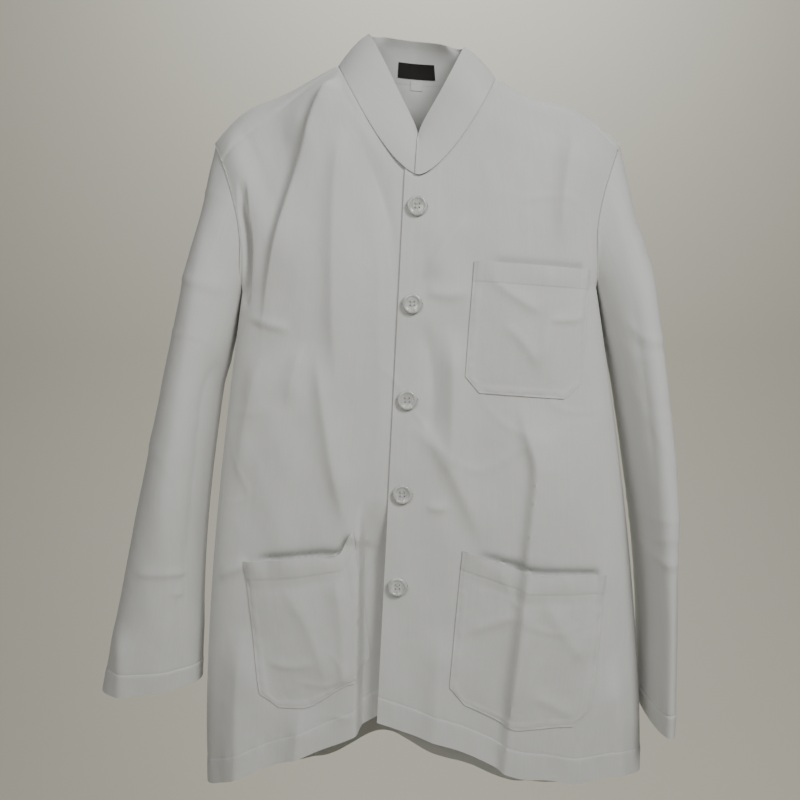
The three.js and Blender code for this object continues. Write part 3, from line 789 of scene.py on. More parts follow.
facing("left_facing_strip", "left", lambda z: left_edge(z) + FACING_SETBACK,
       lambda z: left_edge(z) + FACING_WIDTH, ["left_front_facing", "left_front_interlining"])
facing("right_facing_strip", "right", lambda z: right_edge(z) - FACING_WIDTH,
       lambda z: right_edge(z) - FACING_SETBACK, ["right_front_facing", "right_front_interlining"])

# %% [markdown]
# ## The stand collar
# The collar is a band sewn to the neck seam. It rises square to that seam, so at the sides it leans in
# against the neck and at the centre front it stands almost upright. Its wearer's left end laps over the
# right one. Two plies are made: the outside, and the lining that carries the labels.

# %% Collar
COLLAR_HEIGHT, COLLAR_LENGTH = 44.0, 460.0
COLLAR_LAP = 0.045


def neck_seam(angle):
    """Where the collar is sewn on: angle is 0 at the centre front and goes round by the wearer's left."""
    x = NECK_HALF * np.sin(angle)
    front = np.cos(angle) > 0
    z = np.where(front, neckline(x, -1), neckline(x, 1))
    y = np.where(front, body_y(x, z, -1), body_y(x, z, 1))
    up = np.where(front, settle(x, z, -1), settle(x, z, 1))
    return np.stack([x, y, z + up], axis=-1)


def collar_inwards(angle):
    """The level direction from the collar in towards the neck."""
    inwards = np.stack([-np.sin(angle), np.cos(angle) ** 3, np.zeros_like(angle)], axis=-1)
    return inwards / np.linalg.norm(inwards, axis=-1)[..., None]


def collar_point(angle, rise, depth):
    """A point of the collar: angle goes round the neck, rise is 0 at the seam and 1 on top."""
    side = np.abs(np.sin(angle))
    front = np.cos(angle) > 0
    inwards = collar_inwards(angle)
    back_lean = lerp(0.3, 0.95, side ** 1.5)
    front_lean = 0.95 * np.sin(np.pi / 2 * np.minimum(side / 0.85, 1))
    lean_x = np.where(front, front_lean * -np.sign(np.sin(angle)), back_lean * inwards[..., 0])
    lean_y = np.where(front, 0.34 * np.cos(angle), back_lean * inwards[..., 1])
    direction = np.stack([lean_x, lean_y, np.ones_like(lean_x)], axis=-1)
    direction /= np.linalg.norm(direction, axis=-1)[..., None]
    round_over = 2.5 * np.sin(np.pi * rise) - 1.5 * smooth(rise, 0.8, 1)
    sway = 0.9 * waves(80 * angle, 44 * rise, 34, 60, 61) * np.sin(np.pi * np.clip(rise, 0, 1))
    out = 0.9 + round_over + sway - depth
    return neck_seam(angle) + direction * (rise * COLLAR_HEIGHT)[..., None] - inwards * out[..., None]


def collar_grid(start, end, low, high, depth, columns_count, rows):
    """The collar's left half is pushed out at the centre front, where its end laps over the other."""
    angle, rise = np.meshgrid(np.linspace(start, end, columns_count), np.linspace(low, high, rows))
    lap = 1.3 * smooth(0.35 - angle, 0, 0.3) - 0.6 * smooth(angle - (2 * np.pi - 0.3), 0, 0.3)
    return collar_point(angle, rise, depth - lap)


def round_end(points, radius=5.0):
    """Takes the sharp top corner off both ends, as a turned-out collar end has."""
    for column, inward in ((0, 1), (-1, -2)):
        rise = np.linspace(0, 1, len(points))[:, None]
        points[:, column] += (points[:, inward] - points[:, column]) * smooth(rise, 0.86, 1) * 0.8
        points[:, column] -= np.array([0, 0, radius * 0.4]) * smooth(rise, 0.9, 1)
    return points


LINING_DEPTH, LABEL_DEPTH = 1.1, 2.0
collar_points = round_end(collar_grid(-COLLAR_LAP, 2 * np.pi - COLLAR_LAP / 2, 0.0, 1.0, 0.0, 200, 15))
collar = shell("collar_outer_cloth", collar_points, thickness=0.7, material=poplin)
lining_grid = collar_grid(-COLLAR_LAP / 2, 2 * np.pi - COLLAR_LAP, 0.0, 0.985, LINING_DEPTH, 200, 15)
lining_points = round_end(lining_grid)
lining = shell("collar_lining_cloth", lining_points, thickness=0.5, material=poplin)
collar_flat = (COLLAR_LENGTH * MM, COLLAR_HEIGHT * MM)
finish_cloth(collar, "torso", ["collar_outer"], collar_flat)
finish_cloth(lining, "torso", ["collar_lining", "collar_interlining"], collar_flat)


def label(name, half_angle, low, high, material, nodes):
    """A tag on the collar's lining at the centre back. low and high are shares of the collar's height."""
    points = collar_grid(np.pi - half_angle, np.pi + half_angle, low, high, LABEL_DEPTH, 26, 10)
    tag = shell(name, points, thickness=0.4, material=material)
    width = 2 * half_angle * NECK_HALF * MM
    finish_cloth(tag, "torso", nodes, (width, (high - low) * COLLAR_HEIGHT * MM))


label("neck_label_woven", 0.26, 0.14, 0.5, label_cloth, ["neck_label"])
label("size_tab_tape", 0.08, -0.13, 0.12, tape_cloth, ["size_tab"])

# %% [markdown]
# ## Sleeves
# A sleeve is a tube sewn into the armhole. Empty, it hangs flat rather than round, and bends where the
# elbow was pressed. It starts on the armhole's edge and swells into its own oval, so its cloth is blended
# between the body and the arm.

# %% Sleeves
SLEEVES = {
    "left_sleeve": dict(side=1, cuff_x=266, cuff_z=-682, bow=40, width=24, tilt=4, depths=(34, 60, 60),
                        shift=-22, seed=71),
    "right_sleeve": dict(side=-1, cuff_x=353, cuff_z=-649, bow=4, width=115, tilt=10, depths=(34, 50, 36),
                         shift=-6, seed=76),
}
SLEEVE_FOLDS = {
    "left_sleeve": [
        ([(226, -130), (238, -260), (252, -400), (258, -560)], 6.4, 10, 8, (0.2, 0.3)),
        ([(212, -200), (228, -330), (240, -450)], -3, 9, 12, (0.3, 0.3)),
        ([(206, -250), (226, -268), (246, -274)], 1.8, 3, 7, (0.3, 0.3)),
        ([(222, -470), (240, -492), (262, -500)], 2, 3, 7, (0.3, 0.3)),
    ],
    "right_sleeve": [
        ([(-212, -110), (-236, -260), (-262, -400), (-280, -540)], 6.4, 24, 18, (0.2, 0.3)),
        ([(-206, -260), (-222, -400), (-244, -560), (-250, -660)], -9.6, 14, 16, (0.2, 0)),
        ([(-251, -199), (-222, -208), (-192, -218)], 1.8, 3, 8, (0.3, 0.3)),
        ([(-310, -510), (-268, -509), (-224, -515)], 1.8, 3, 8, (0.3, 0.3)),
        ([(-268, -529), (-245, -537), (-226, -549)], 1.8, 3, 8, (0.3, 0.3)),
        ([(-320, -560), (-322, -610), (-326, -660)], 6.4, 14, 12, (0.4, 0)),
    ],
}


SLEEVE_RUN, SLEEVE_LENGTH, SLEEVE_MIRROR = 610.0, 640.0, 480.0


def bezier(a, b, c, t):
    """A bend from a to c, drawn towards b."""
    return a * (1 - t) ** 2 + 2 * b * t * (1 - t) + c * t ** 2


def armhole_point(turn, side):
    """The armhole's edge: from the underarm up the front to the shoulder and down the back."""
    front = turn < 0.5
    climb = np.where(front, turn, 1 - turn) * 2
    z = lerp(UNDERARM, SHOULDER_TIP, 1 - (1 - climb) ** 1.4)
    x = side * panel_half(z)
    y = np.where(front, body_y(x, z, -1), body_y(x, z, 1))
    up = np.where(front, settle(x, z, -1), settle(x, z, 1))
    return np.stack([x, y, z + up], axis=-1)


def sleeve_relief(name, x, z, normal):
    """The front carries its folds, and the back a weaker mirror image of the first three."""
    spec = SLEEVES[name]
    facing_front = smooth(-normal[..., 1], -0.2, 0.4)
    facing_back = smooth(normal[..., 1], -0.2, 0.4)
    mirror = spec["side"] * SLEEVE_MIRROR
    back_folds = []
    for path, height, left, right, fade in SLEEVE_FOLDS[name][:3]:
        back_folds.append(([(mirror - px, pz) for px, pz in path], height, right, left, fade))
    front = facing_front * fold_sum(x, z, SLEEVE_FOLDS[name])
    back = facing_back * 0.8 * fold_sum(mirror - x, z - 12, back_folds)
    return front + back + 0.8 * drape(x * 1.2, z, spec["seed"])


def sleeve_points(name, rounds, rings):
    """Points of a sleeve: rings from the cuff up to the armhole, each starting at the underarm."""
    spec = SLEEVES[name]
    side = spec["side"]
    turn, fall = np.meshgrid(np.linspace(0, 1, rounds, endpoint=False), rings)
    bowed = (SHOULDER_HALF + spec["cuff_x"]) / 2 + spec["bow"]
    outer_x = bezier(SHOULDER_HALF + 1, bowed, spec["cuff_x"], fall)
    outer_z = lerp(SHOULDER_TIP, spec["cuff_z"], fall)
    inner_z = lerp(UNDERARM, spec["cuff_z"] + spec["tilt"], fall)
    beside = profile_half(inner_z) + 1.6 + 4 * np.minimum(4 * fall, 1)
    inner_x = np.maximum(beside, lerp(beside, spec["cuff_x"] - spec["width"], fall ** 2))
    angle = turn * 2 * np.pi
    out = (1 - np.cos(angle)) / 2
    depth = bezier(spec["depths"][0], spec["depths"][1] * 1.3, spec["depths"][2], fall)
    flat = np.sign(np.sin(angle)) * np.abs(np.sin(angle)) ** 0.85
    ring = np.stack([side * lerp(inner_x, outer_x, out), -depth * flat + spec["shift"] * fall,
                     lerp(inner_z, outer_z, out)], axis=-1)
    ease = smooth(fall, 0, 0.25)[..., None]
    points = lerp(armhole_point(turn, side), ring, ease)
    if side < 0:
        points = points[:, ::-1]
        turn, fall = turn[:, ::-1], fall[:, ::-1]
    normal = grid_normals(points, True)
    x, z = points[..., 0], points[..., 2]
    hang = smooth(fall, 0.0, 0.1)
    off = sleeve_relief(name, x, z, normal)
    up = (1 - fall) * np.linalg.norm([spec["cuff_x"] - SHOULDER_HALF, spec["cuff_z"] - SHOULDER_TIP])
    cuff = 0.6 * smooth(HEM_TURN + 0.4 - up, 0, 1) - 0.5 * np.exp(-((up - HEM_TURN) / 1.4) ** 2)
    cuff = cuff + 0.4 * waves(300 * turn, z, 9, 30, 79) * np.exp(-((up - HEM_TURN) / 9) ** 2)
    ridge = 1.6 * np.exp(-((fall - 0.012) / 0.012) ** 2)
    off = np.clip(off * hang, -3.2, 12) + cuff + ridge * smooth(fall, 0, 0.006)
    return points + normal * off[..., None]


def sleeve_rings():
    """Shares down the sleeve: close together at the seam and along the cuff's stitching."""
    seam = np.array([0, 0.003, 0.007, 0.012, 0.018])
    cuff = 1 - HEM_ROWS[::-1] / SLEEVE_RUN
    middle = np.linspace(0.024, cuff[0] - 0.004, 150)
    return np.concatenate([seam, middle, cuff])[::-1]


sleeve_grids = {}
for name, spec in SLEEVES.items():
    grid = sleeve_points(name, 96, sleeve_rings())
    sleeve_grids[name] = grid
    sleeve = shell(name + "_cloth", grid, ring=True, material=poplin)
    side = spec["side"]
    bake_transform(sleeve)
    around = float(np.linalg.norm(np.diff(grid[60], axis=0), axis=-1).sum()) * MM
    length = SLEEVE_LENGTH * MM
    finish_cloth(sleeve, None, [name], (round(around, 3), length))

# %% [markdown]
# ## Patch pockets
# A patch pocket is a flat piece with its edges turned under, sewn on at the sides and bottom. Its mouth
# has a deeper hem and stays free, so it falls open a little, and its lower corners are cut off at an
# angle. It lies on whatever the front beneath it does, so its points are taken from that front and lifted.

# %% Pockets
POCKET_FOLDS = {
    "chest_pocket": [
        ([(62, -199), (100, -227), (125, -242)], 2.2, 5, 9, (0.3, 0.3)),
        ([(80, -246), (105, -272), (120, -297)], 2.0, 6, 9, (0.3, 0.3)),
        ([(127, -247), (150, -248), (175, -246)], 1.6, 3, 6, (0.2, 0.2)),
        ([(132, -192), (127, -242), (120, -317)], 2.4, 8, 12, (0.2, 0.3)),
    ],
    "left_hip_pocket": [
        ([(106, -509), (100, -559), (89, -663)], 3.0, 8, 14, (0.2, 0.2)),
        ([(117, -521), (148, -576), (172, -609)], 2.6, 7, 12, (0.3, 0.3)),
        ([(36, -574), (75, -558), (101, -548)], 2.0, 5, 9, (0.3, 0.3)),
        ([(107, -630), (133, -647), (165, -669)], 1.8, 5, 9, (0.3, 0.3)),
    ],
    "right_hip_pocket": [
        ([(-150, -510), (-120, -560), (-96, -640)], 2.6, 10, 14, (0.3, 0.3)),
        ([(-90, -500), (-84, -570), (-82, -640)], 2.4, 8, 8, (0.2, 0.2)),
        ([(-168, -600), (-140, -606), (-110, -600)], 1.6, 4, 8, (0.3, 0.3)),
    ],
}
POCKET_SEAT = 0.6
SEAM_ROWS = np.array([0, 0.5, 1.4, 2.2, 3.0, 4.5, 7, 8.6, 9.8, 12])


def pocket_point(name, u, v, lift=0.0):
    """A point of a pocket: u is its share across, v its share up, and lift is off the pocket's own face."""
    spec = POCKETS[name]
    x, z = pocket_place(spec, u, v)
    inner = np.clip(4 * u * (1 - u), 0, 1)
    bulge = spec["bulge"] * inner ** 0.8 * np.sin(np.clip(v, 0, 1) * np.pi / 2) ** 0.9
    mouth = spec["gap"] * smooth(v, 0.8, 1.0) * inner ** 0.7
    down = (1 - v) * spec["height"]
    hem = 0.3 * smooth(POCKET_TURN + 0.4 - down, 0, 1) - 0.15 * np.exp(-((down - POCKET_TURN) / 1.3) ** 2)
    edge = np.minimum(np.minimum(u, 1 - u) * spec["width"], v * spec["height"])
    turned = 0.35 * smooth(9 - edge, 0, 1.2) - 0.3 * np.exp(-((edge - 2.2) / 0.9) ** 2)
    pucker = 0.45 * waves(x + z, z - x, 9, 9, 91) * np.exp(-((edge - 3) / 5) ** 2)
    own = fold_sum(x, z, POCKET_FOLDS[name]) + 0.35 * drape(x, z, 95)
    hold = smooth(edge, 0, 12)
    stand = POCKET_SEAT + bulge + mouth + hem + turned + pucker * smooth(edge, 0, 2) + hold * own
    return cloth_point(spec["part"], x, z, lift=np.maximum(stand, POCKET_SEAT) + CLOTH + lift)


def pocket_shares(spec):
    """Rows and columns that crowd along the sewn edges and along the mouth's hem."""
    side = SEAM_ROWS / spec["width"]
    middle = np.linspace(side[-1], 1 - side[-1], 48)[1:-1]
    u = np.concatenate([side, middle, 1 - side[::-1]])
    low = SEAM_ROWS / spec["height"]
    turn = POCKET_TURN / spec["height"]
    top = 1 - np.array([
        turn + 0.02, turn + 0.011, turn + 0.005, turn, turn - 0.004, turn - 0.012,
        0.08, 0.05, 0.025, 0.01, 0.003, 0,
    ])
    v = np.concatenate([low, np.linspace(low[-1], top[0], 50)[1:-1], top])
    return np.meshgrid(u, v)


for name, spec in POCKETS.items():
    u, v = pocket_shares(spec)
    grid = pocket_point(name, u, v)
    pocket = shell(name + "_cloth", grid, thickness=0.55, material=poplin,
                   uv=(u * spec["width"] * MM, v * spec["height"] * MM))
    size = (spec["width"] * MM, spec["height"] * MM)
    finish_cloth(pocket, "torso", [name], size)

# %% [markdown]
# ## Buttonholes
# Five slits are cut through the left front. A boolean cut with thin round-ended blades does that on the
# finished cloth. Then the fronts and the back are attached to the torso.

# %% Cut the slits
SLIT_LENGTH, SLIT_OPENING = 22.0, 1.4


def button_place(i):
    """Where a button sits on the smooth front, in millimetres, counted from the top."""
    z = BUTTON_TOP - i * BUTTON_PITCH
    x = float(left_edge(z)) + STAND
    return Vector((x, float(body_y(np.float64(x), np.float64(z), -1)), z))


def slit_blade():
    """One mesh of five thin blades with round ends, just where the buttons are."""
    blade = bmesh.new()
    half_run, radius = SLIT_LENGTH / 2 - SLIT_OPENING / 2, SLIT_OPENING / 2
    outline = []
    for end in (1, -1):
        for k in range(7):
            turn = math.radians(-90 + 30 * k)
            outline.append((end * (half_run + radius * math.cos(turn)), end * radius * math.sin(turn)))
    for i in range(BUTTON_COUNT):
        place = button_place(i)
        ring = [blade.verts.new(Vector((place.x + px, place.y - 4, place.z + pz)) * MM) for px, pz in outline]
        bottom = blade.faces.new(ring)
        deep = bmesh.ops.extrude_face_region(blade, geom=[bottom])
        moved = [v for v in deep["geom"] if isinstance(v, bmesh.types.BMVert)]
        bmesh.ops.translate(blade, verts=moved, vec=(0, 5.6 * MM, 0))
    bmesh.ops.recalc_face_normals(blade, faces=blade.faces)
    mesh = bpy.data.meshes.new("slit_blade")
    blade.to_mesh(mesh)
    blade.free()
    return bpy.data.objects.new("slit_blade", mesh)


def cut_away(piece, blade):
    """Cuts the blade out of a piece and leaves a plain mesh."""
    bpy.context.scene.collection.objects.link(blade)
    modifier = piece.modifiers.new("cut", "BOOLEAN")
    modifier.operation = "DIFFERENCE"
    modifier.solver = "EXACT"
    modifier.object = blade
    depsgraph = bpy.context.evaluated_depsgraph_get()
    result = bpy.data.meshes.new_from_object(piece.evaluated_get(depsgraph))
    piece.modifiers.clear()
    piece.data = result
    result.set_sharp_from_angle(angle=SHARP_RIM)
    bpy.data.objects.remove(blade)


before = len(left_front.data.vertices)
cut_away(left_front, slit_blade())
print("left front:", before, "points before the slits and", len(left_front.data.vertices), "after")

FRONT_FLAT, BACK_FLAT = (0.30, 0.77), (0.52, 0.80)
finish_cloth(left_front, "torso", ["left_front"], FRONT_FLAT)
finish_cloth(right_front, "torso", ["right_front"], FRONT_FLAT)
finish_cloth(back, "torso", ["back_panel"], BACK_FLAT)

# %% [markdown]
# ## Stitches by Geometry Nodes
# A line of machine stitches is the same small piece of thread again and again along a path, which is what
# Geometry Nodes are for. The tree takes a line of edges, turns it to a curve, resamples it at the stitch
# length, puts one stretched bead of thread at each point, lined up with the curve, and gives it the
# thread's material.

# %% Stitch tree
STITCH_PITCH, STITCH_RUN, THREAD_WIDTH = 2.6, 2.0, 0.28


def stitch_tree():
    """The Geometry Nodes tree. Its inputs are the line, three sizes and the thread's material."""
    tree = bpy.data.node_groups.new("machine_stitches", "GeometryNodeTree")
    face = tree.interface
    face.new_socket("Geometry", in_out="INPUT", socket_type="NodeSocketGeometry")
    for label_text in ("Pitch", "Length", "Width"):
        face.new_socket(label_text, in_out="INPUT", socket_type="NodeSocketFloat")
    face.new_socket("Thread", in_out="INPUT", socket_type="NodeSocketMaterial")
    face.new_socket("Geometry", in_out="OUTPUT", socket_type="NodeSocketGeometry")
    given = node(tree, "NodeGroupInput").outputs
    curve = node(tree, "GeometryNodeMeshToCurve", links={"Mesh": given["Geometry"]}).outputs["Curve"]
    even = node(tree, "GeometryNodeResampleCurve", {"mode": "LENGTH"},
                links={"Curve": curve, "Length": given["Pitch"]}).outputs["Curve"]
    tangent = node(tree, "GeometryNodeInputTangent").outputs["Tangent"]
    turn = node(tree, "FunctionNodeAlignRotationToVector", {"axis": "Z"}, links={"Vector": tangent})
    size = node(tree, "ShaderNodeCombineXYZ",
                links={"X": given["Width"], "Y": given["Width"], "Z": given["Length"]}).outputs["Vector"]
    bead = node(tree, "GeometryNodeMeshIcoSphere", inputs={"Radius": 0.5, "Subdivisions": 1}).outputs["Mesh"]
    parts = {"Points": even, "Instance": bead, "Rotation": turn.outputs[0], "Scale": size}
    placed = node(tree, "GeometryNodeInstanceOnPoints", links=parts).outputs["Instances"]
    real = node(tree, "GeometryNodeRealizeInstances", links={"Geometry": placed}).outputs["Geometry"]
    done = node(tree, "GeometryNodeSetMaterial", links={"Geometry": real, "Material": given["Thread"]})
    node(tree, "NodeGroupOutput", links={"Geometry": done.outputs["Geometry"]})
    return tree


STITCHES = stitch_tree()


def sew(name, lines, pitch=STITCH_PITCH, run=STITCH_RUN, width=THREAD_WIDTH):
    """One mesh of stitches along several lines of points, given in millimetres."""
    vertices, edges = [], []
    for line in lines:
        first = len(vertices)
        vertices += [tuple(point * MM) for point in np.asarray(line)]
        edges += [(k, k + 1) for k in range(first, len(vertices) - 1)]
    mesh = bpy.data.meshes.new(name + "_path")
    mesh.from_pydata(vertices, edges, [])
    path = bpy.data.objects.new(name + "_path", mesh)
    bpy.context.scene.collection.objects.link(path)
    modifier = path.modifiers.new("stitches", "NODES")
    modifier.node_group = STITCHES
    values = {"Pitch": pitch * MM, "Length": run * MM, "Width": width * MM, "Thread": thread}
    for item in STITCHES.interface.items_tree:
        if item.item_type == "SOCKET" and item.name in values:
            modifier[item.identifier] = values[item.name]
    depsgraph = bpy.context.evaluated_depsgraph_get()
    result = bpy.data.meshes.new_from_object(path.evaluated_get(depsgraph))
    bpy.data.objects.remove(path)
    piece = bpy.data.objects.new(name, result)
    result.shade_smooth()
    bpy.context.scene.collection.objects.link(piece)
    print(name, len(result.polygons), "faces on", len(lines), "lines")
    return piece


# %% [markdown]
# The stitches of the body lie on the hems, the pockets, the collar's seam and the shoulders. Each line is
# drawn on the cloth itself, so that about half of the thread is sunk, because a stitch pulls into the
# cloth.

# %% Sew the body
THREAD_LIFT = 0.12


def on_cloth(part, x, z, lift=THREAD_LIFT):
    """Points a little above the cloth of a part."""
    return cloth_point(part, np.asarray(x, float), np.asarray(z, float), lift=np.float64(lift))


def hem_stitches(part, low_x, high_x, face):
    """The line of stitches that holds a hem's turning."""
    x = np.linspace(low_x, high_x, 160)
    return on_cloth(part, x, hem_line(x, face) + HEM_TURN)


POCKET_INSET = 2.2


def pocket_stitches(name):
    """A line of stitches round the sides and bottom, and one along the mouth's hem."""
    spec = POCKETS[name]
    inset_u, inset_v = POCKET_INSET / spec["width"], POCKET_INSET / spec["height"]
    cut = spec["chamfer"] / spec["height"]
    down = np.linspace(1, cut, 60)
    chamfer = np.linspace(cut, inset_v, 10)
    across = np.linspace(inset_u, 1 - inset_u, 60)
    u = np.concatenate([np.full(70, inset_u), across, np.full(70, 1 - inset_u)])
    v = np.concatenate([down, chamfer, np.full(60, inset_v), chamfer[::-1], down[::-1]])
    edge_line = pocket_point(name, u, v, lift=0.1)
    hem_u = np.linspace(inset_u, 1 - inset_u, 60)
    mouth_line = pocket_point(name, hem_u, np.full(60, 1 - POCKET_TURN / spec["height"]), lift=0.1)
    return [edge_line, mouth_line]


def shoulder_seam(part, side):
    """The stitching beside the shoulder seam, on the back's edge that laps over the front."""
    x = side * np.linspace(86, 205, 60)
    near, far = SEAM_FORWARD[part]
    return x, shoulder_ridge(x) - lerp(near, far, ((np.abs(x) - 84) / 122) ** 1.3) + 1.6


STITCH_END = HEM_HALF - 4
body_lines = [
    hem_stitches("left", CLOSURE_HEM + 2, STITCH_END, -1),
    hem_stitches("right", -STITCH_END, CLOSURE_HEM - 2, -1),
    hem_stitches("back", -STITCH_END, STITCH_END, 1),
]
for name in POCKETS:
    body_lines += pocket_stitches(name)
for side, part in ((1, "left"), (-1, "right")):
    body_lines.append(on_cloth(part, *shoulder_seam(part, side)))
neck_angles = np.linspace(0.05, 2 * np.pi - 0.05, 260)
collar_foot = collar_point(neck_angles, np.full(260, 0.035), np.full(260, -0.1))
body_lines.append(collar_foot)
body_stitches = sew("body_stitches", body_lines)
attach(body_stitches, "torso")

# %% [markdown]
# The cuffs are stitched too. The blend ends high up on the sleeve, and the cuff's thread is attached to
# the sleeve's body.

# %% Sew the cuffs
for name, spec in SLEEVES.items():
    rings = sleeve_rings()
    row = int(np.argmin(np.abs((1 - rings) * SLEEVE_RUN - HEM_TURN)))
    loop = sleeve_grids[name][row]
    outward = grid_normals(sleeve_grids[name], True)[row]
    cuff_line = np.vstack([loop, loop[:1]]) + THREAD_LIFT * np.vstack([outward, outward[:1]])
    cuff_stitches = sew(name + "_cuff_stitches", [cuff_line])
    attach(cuff_stitches, name)

# %% [markdown]
# ## Buttons
# A button is turned from a cast blank, so its section is spun round its axis: a flat back, a rounded rim,
# a raised ring and a sunk well. Four holes are drilled through the well. One mesh is made and placed five
# times, because the five are alike, and the pearl's streaks come out differently in each from its place in
# the sheet.

# %% Button shape
STAND_OFF, WELL_HEIGHT = 2.0, 2.0
HOLE_RADIUS, HOLE_HALF_SPACING = 0.95, 1.9
BUTTON_SECTION = [
    (0, 0), (8.3, 0), (9.3, 0.35), (9.95, 1.0), (10.1, 1.7), (10.0, 2.4), (9.6, 3.0), (9.0, 3.42), (8.3, 3.6),
    (7.7, 3.52), (7.3, 3.3), (7.0, 3.0), (6.6, 2.78), (5.9, 2.6), (4.4, 2.3), (2.6, 2.08), (0, 2.0),
]
HOLE_SIGNS = ((-1, -1), (1, -1), (1, 1), (-1, 1))
HOLE_PLACES = [(a * HOLE_HALF_SPACING, b * HOLE_HALF_SPACING) for a, b in HOLE_SIGNS]


def button_mesh():
    """A button with its back at the origin and its face towards -Y, in millimetres."""
    disc = bmesh.new()
    section = [disc.verts.new((radius, -height, 0)) for radius, height in BUTTON_SECTION]
    edges = [disc.edges.new(pair) for pair in zip(section, section[1:])]
    bmesh.ops.spin(disc, geom=section + edges, cent=(0, 0, 0), axis=(0, 1, 0), angle=2 * math.pi, steps=72)
    bmesh.ops.remove_doubles(disc, verts=disc.verts, dist=1e-4)
    bmesh.ops.recalc_face_normals(disc, faces=disc.faces)
    mesh = bpy.data.meshes.new("button")
    disc.to_mesh(mesh)
    disc.free()
    button = bpy.data.objects.new("button_blank", mesh)
    bpy.context.scene.collection.objects.link(button)
    drill = bmesh.new()
    for x, z in HOLE_PLACES:
        turn = Matrix.Translation((x, -1.8, z)) @ Matrix.Rotation(math.pi / 2, 4, "X")
        bmesh.ops.create_cone(drill, cap_ends=True, segments=24, radius1=HOLE_RADIUS, radius2=HOLE_RADIUS,
                              depth=8, matrix=turn)
    drill_mesh = bpy.data.meshes.new("drill")
    drill.to_mesh(drill_mesh)
    drill.free()
    cut_away(button, bpy.data.objects.new("drill", drill_mesh))
    mesh = button.data
    bpy.data.objects.remove(button)
    mesh.shade_smooth()
    mesh.set_sharp_from_angle(angle=math.radians(35))
    return mesh


def tube(path, radius, sides=8, closed_ends=True):
    """Points and faces of a tube along a path, in millimetres."""
    path = np.asarray(path, float)
    tangent = np.gradient(path, axis=0)
    tangent /= np.linalg.norm(tangent, axis=1)[:, None]
    helper = np.where(np.abs(tangent[:, 1:2]) > 0.9, [[1.0, 0, 0]], [[0, 1.0, 0]])
    a = np.cross(tangent, helper)
    a /= np.linalg.norm(a, axis=1)[:, None]
    b = np.cross(tangent, a)
    turn = np.linspace(0, 2 * np.pi, sides, endpoint=False)
    ring = np.cos(turn)[None, :, None] * a[:, None] + np.sin(turn)[None, :, None] * b[:, None]
    points = (path[:, None] + radius * ring).reshape(-1, 3)
    faces = []
    for i in range(len(path) - 1):
        for k in range(sides):
            n = (k + 1) % sides
            faces.append((i * sides + k, i * sides + n, (i + 1) * sides + n, (i + 1) * sides + k))
    if closed_ends:
        faces.append(tuple(range(sides))[::-1])
        faces.append(tuple(range((len(path) - 1) * sides, len(path) * sides)))
    return points, faces


def joined_mesh(name, parts, material):
    """One mesh from several lists of points and faces, in millimetres."""
    vertices, faces = [], []
    for points, part_faces in parts:
        first = len(vertices)
        vertices += [tuple(point * MM) for point in points]
        faces += [tuple(first + k for k in one) for one in part_faces]
    mesh = bpy.data.meshes.new(name)
    mesh.from_pydata(vertices, [], faces)
    check = bmesh.new()
    check.from_mesh(mesh)
    bmesh.ops.recalc_face_normals(check, faces=check.faces)
    check.to_mesh(mesh)
    check.free()
    mesh.shade_smooth()
    mesh.set_sharp_from_angle(angle=SHARP_RIM)
    mesh.materials.append(material)
    piece = bpy.data.objects.new(name, mesh)
    bpy.context.scene.collection.objects.link(piece)
    return piece


BUTTON = button_mesh()
print("button:", len(BUTTON.polygons), "faces")

# %% [markdown]
# Each button is sewn on with a few turns of thread through its holes, and the thread is wound under it
# into a short post, the shank, which leaves room for the cloth of the left front. The thread over the well
# turns with the button, and the shank stays on the coat. The buttonhole's edge is covered in close satin
# stitches.

# %% Buttons, threads, shanks and buttonholes
def thread_bars(place):
    """Two strands over the well between each pair of holes, and the legs that go down through them."""
    strands = []
    face_y = place.y - STAND_OFF
    for row in (-1, 1):
        for offset in (-0.3, 0.3):
            path = []
            for t in np.linspace(0, 1, 15):
                x = lerp(-HOLE_HALF_SPACING, HOLE_HALF_SPACING, t)
                rise = 0.5 * math.sin(math.pi * t) ** 0.5
                z = place.z + row * HOLE_HALF_SPACING + offset
                path.append((place.x + x, face_y - WELL_HEIGHT - rise, z))
            ends = [(path[0][0], face_y + 0.2, path[0][2]), (path[-1][0], face_y + 0.2, path[-1][2])]
            strands.append(tube([ends[0]] + path + [ends[1]], 0.24))
    return strands


def shank_coil(place):
    """Thread wound round itself from the under front to the back of the button."""
    start, end = place.y + UNDERLAP + 0.2, place.y - STAND_OFF + 0.15
    turns = 6
    path = []
    for t in np.linspace(0, 1, turns * 16):
        angle = 2 * math.pi * turns * t
        path.append((place.x + 0.95 * math.cos(angle), lerp(start, end, t), place.z + 0.95 * math.sin(angle)))
    core = [(place.x, y, place.z) for y in np.linspace(start, end, 6)]
    return [tube(path, 0.34, 6), tube(core, 0.8, 10)]


def buttonhole_line(place):
    """The oval that the satin stitches follow, on the cloth."""
    run, wide = SLIT_LENGTH / 2, SLIT_OPENING / 2 + 0.75
    turn = np.linspace(0, 2 * np.pi, 90)
    x = place.x + np.sign(np.cos(turn)) * np.abs(np.cos(turn)) ** 0.55 * run
    z = place.z + np.sign(np.sin(turn)) * np.abs(np.sin(turn)) ** 0.55 * wide
    return on_cloth("left", x, z, 0.1)


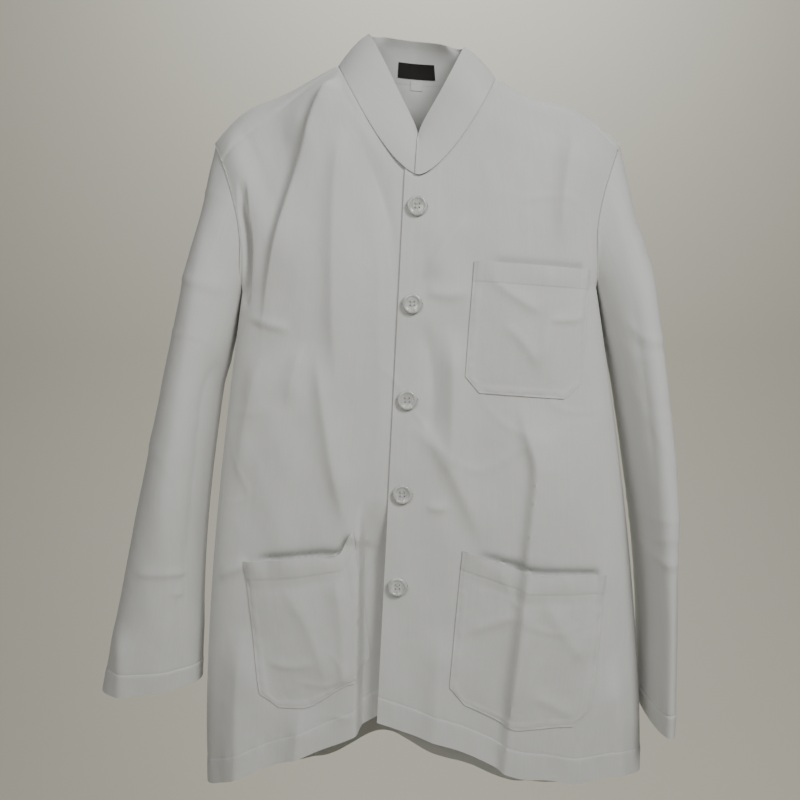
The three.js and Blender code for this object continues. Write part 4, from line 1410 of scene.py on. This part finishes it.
for i in range(BUTTON_COUNT):
    number = i + 1
    place = button_place(i)
    mesh = BUTTON.copy()
    seat = Vector((place.x, place.y - STAND_OFF, place.z)) * MM
    mesh.transform(Matrix.Translation(seat) @ Matrix.Scale(MM, 4))
    mesh.materials.clear()
    mesh.materials.append(pearl)
    button = bpy.data.objects.new(f"button_{number}_resin", mesh)
    bpy.context.scene.collection.objects.link(button)
    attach(button, f"button_{number}")
    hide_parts(f"button_{number}")

    bars = joined_mesh(f"button_{number}_sewing", thread_bars(place), thread)
    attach(bars, f"button_{number}")
    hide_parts(f"button_thread_{number}")

    shank = joined_mesh(f"button_{number}_shank", shank_coil(place), thread)
    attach(shank, "torso")
    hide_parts(f"thread_shank_{number}")

    satin = sew(f"buttonhole_{number}_satin", [buttonhole_line(place)], pitch=0.45, run=0.5, width=1.3)
    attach(satin, "torso")
    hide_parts(f"buttonhole_{number}")

# %% [markdown]
# ## Backdrop and light
# The coat hangs well in front of a plain cream wall that curves into the floor, far enough for the back to
# be seen from behind. The light is that of a room: a soft source high on the right, which draws each
# fold's left side dark, a weaker one on the left, one for the wall, and a little even fill from all round.

# %% Backdrop
def wall_material():
    """Flat wall paint put on with a roller, which leaves a faint grain."""
    material, tree, shader = new_material("matt_cream_wall_paint")
    place = node(tree, "ShaderNodeTexCoord").outputs["Object"]
    grain = node(tree, "ShaderNodeTexNoise", inputs={"Scale": 60.0, "Detail": 4.0}, links={"Vector": place})
    bump = node(tree, "ShaderNodeBump", inputs={"Strength": 0.05, "Distance": 0.001},
                links={"Height": grain.outputs["Fac"]})
    tree.links.new(bump.outputs["Normal"], shader.inputs["Normal"])
    shader.inputs["Base Color"].default_value = linear("#dcdacb")
    shader.inputs["Roughness"].default_value = 0.7
    return material


WALL_Y, FLOOR_Z, SWEEP = 3.4, -1.9, 1.4


def backdrop():
    """A wall and a floor in one sheet, with a wide curve between them."""
    curve = [(-5.0, FLOOR_Z)]
    for k in range(13):
        turn = math.radians(90 * k / 12)
        curve.append((WALL_Y - SWEEP + SWEEP * math.sin(turn), FLOOR_Z + SWEEP - SWEEP * math.cos(turn)))
    curve.append((WALL_Y, 4.0))
    vertices = [(x, y, z) for y, z in curve for x in (-6.0, 6.0)]
    faces = [(2 * k, 2 * k + 1, 2 * k + 3, 2 * k + 2) for k in range(len(curve) - 1)]
    mesh = bpy.data.meshes.new("backdrop")
    mesh.from_pydata(vertices, [], faces)
    mesh.shade_smooth()
    mesh.materials.append(wall_material())
    wall = bpy.data.objects.new("backdrop", mesh)
    bpy.context.scene.collection.objects.link(wall)


def soft_light(name, place, aim, size, power):
    """A round area light, its size in metres and its power in watts."""
    lamp = bpy.data.lights.new(name, "AREA")
    lamp.shape = "DISK"
    lamp.size = size
    lamp.energy = power
    holder = bpy.data.objects.new(name, lamp)
    holder.location = place
    holder.rotation_euler = (Vector(aim) - Vector(place)).to_track_quat("-Z", "Y").to_euler()
    bpy.context.scene.collection.objects.link(holder)


backdrop()
soft_light("window", (0.95, -1.4, 0.8), (0, 0, -0.35), 0.7, 23)
soft_light("room", (-0.5, -1.6, 0.4), (0, 0, -0.3), 0.9, 9)
soft_light("wall", (0.3, 1.5, 2.4), (0, WALL_Y, -0.1), 1.2, 70)
world = bpy.data.worlds.new("room_light")
world.use_nodes = True
world.node_tree.nodes["Background"].inputs["Color"].default_value = linear("#f4f3ec")
world.node_tree.nodes["Background"].inputs["Strength"].default_value = 0.15
bpy.context.scene.world = world
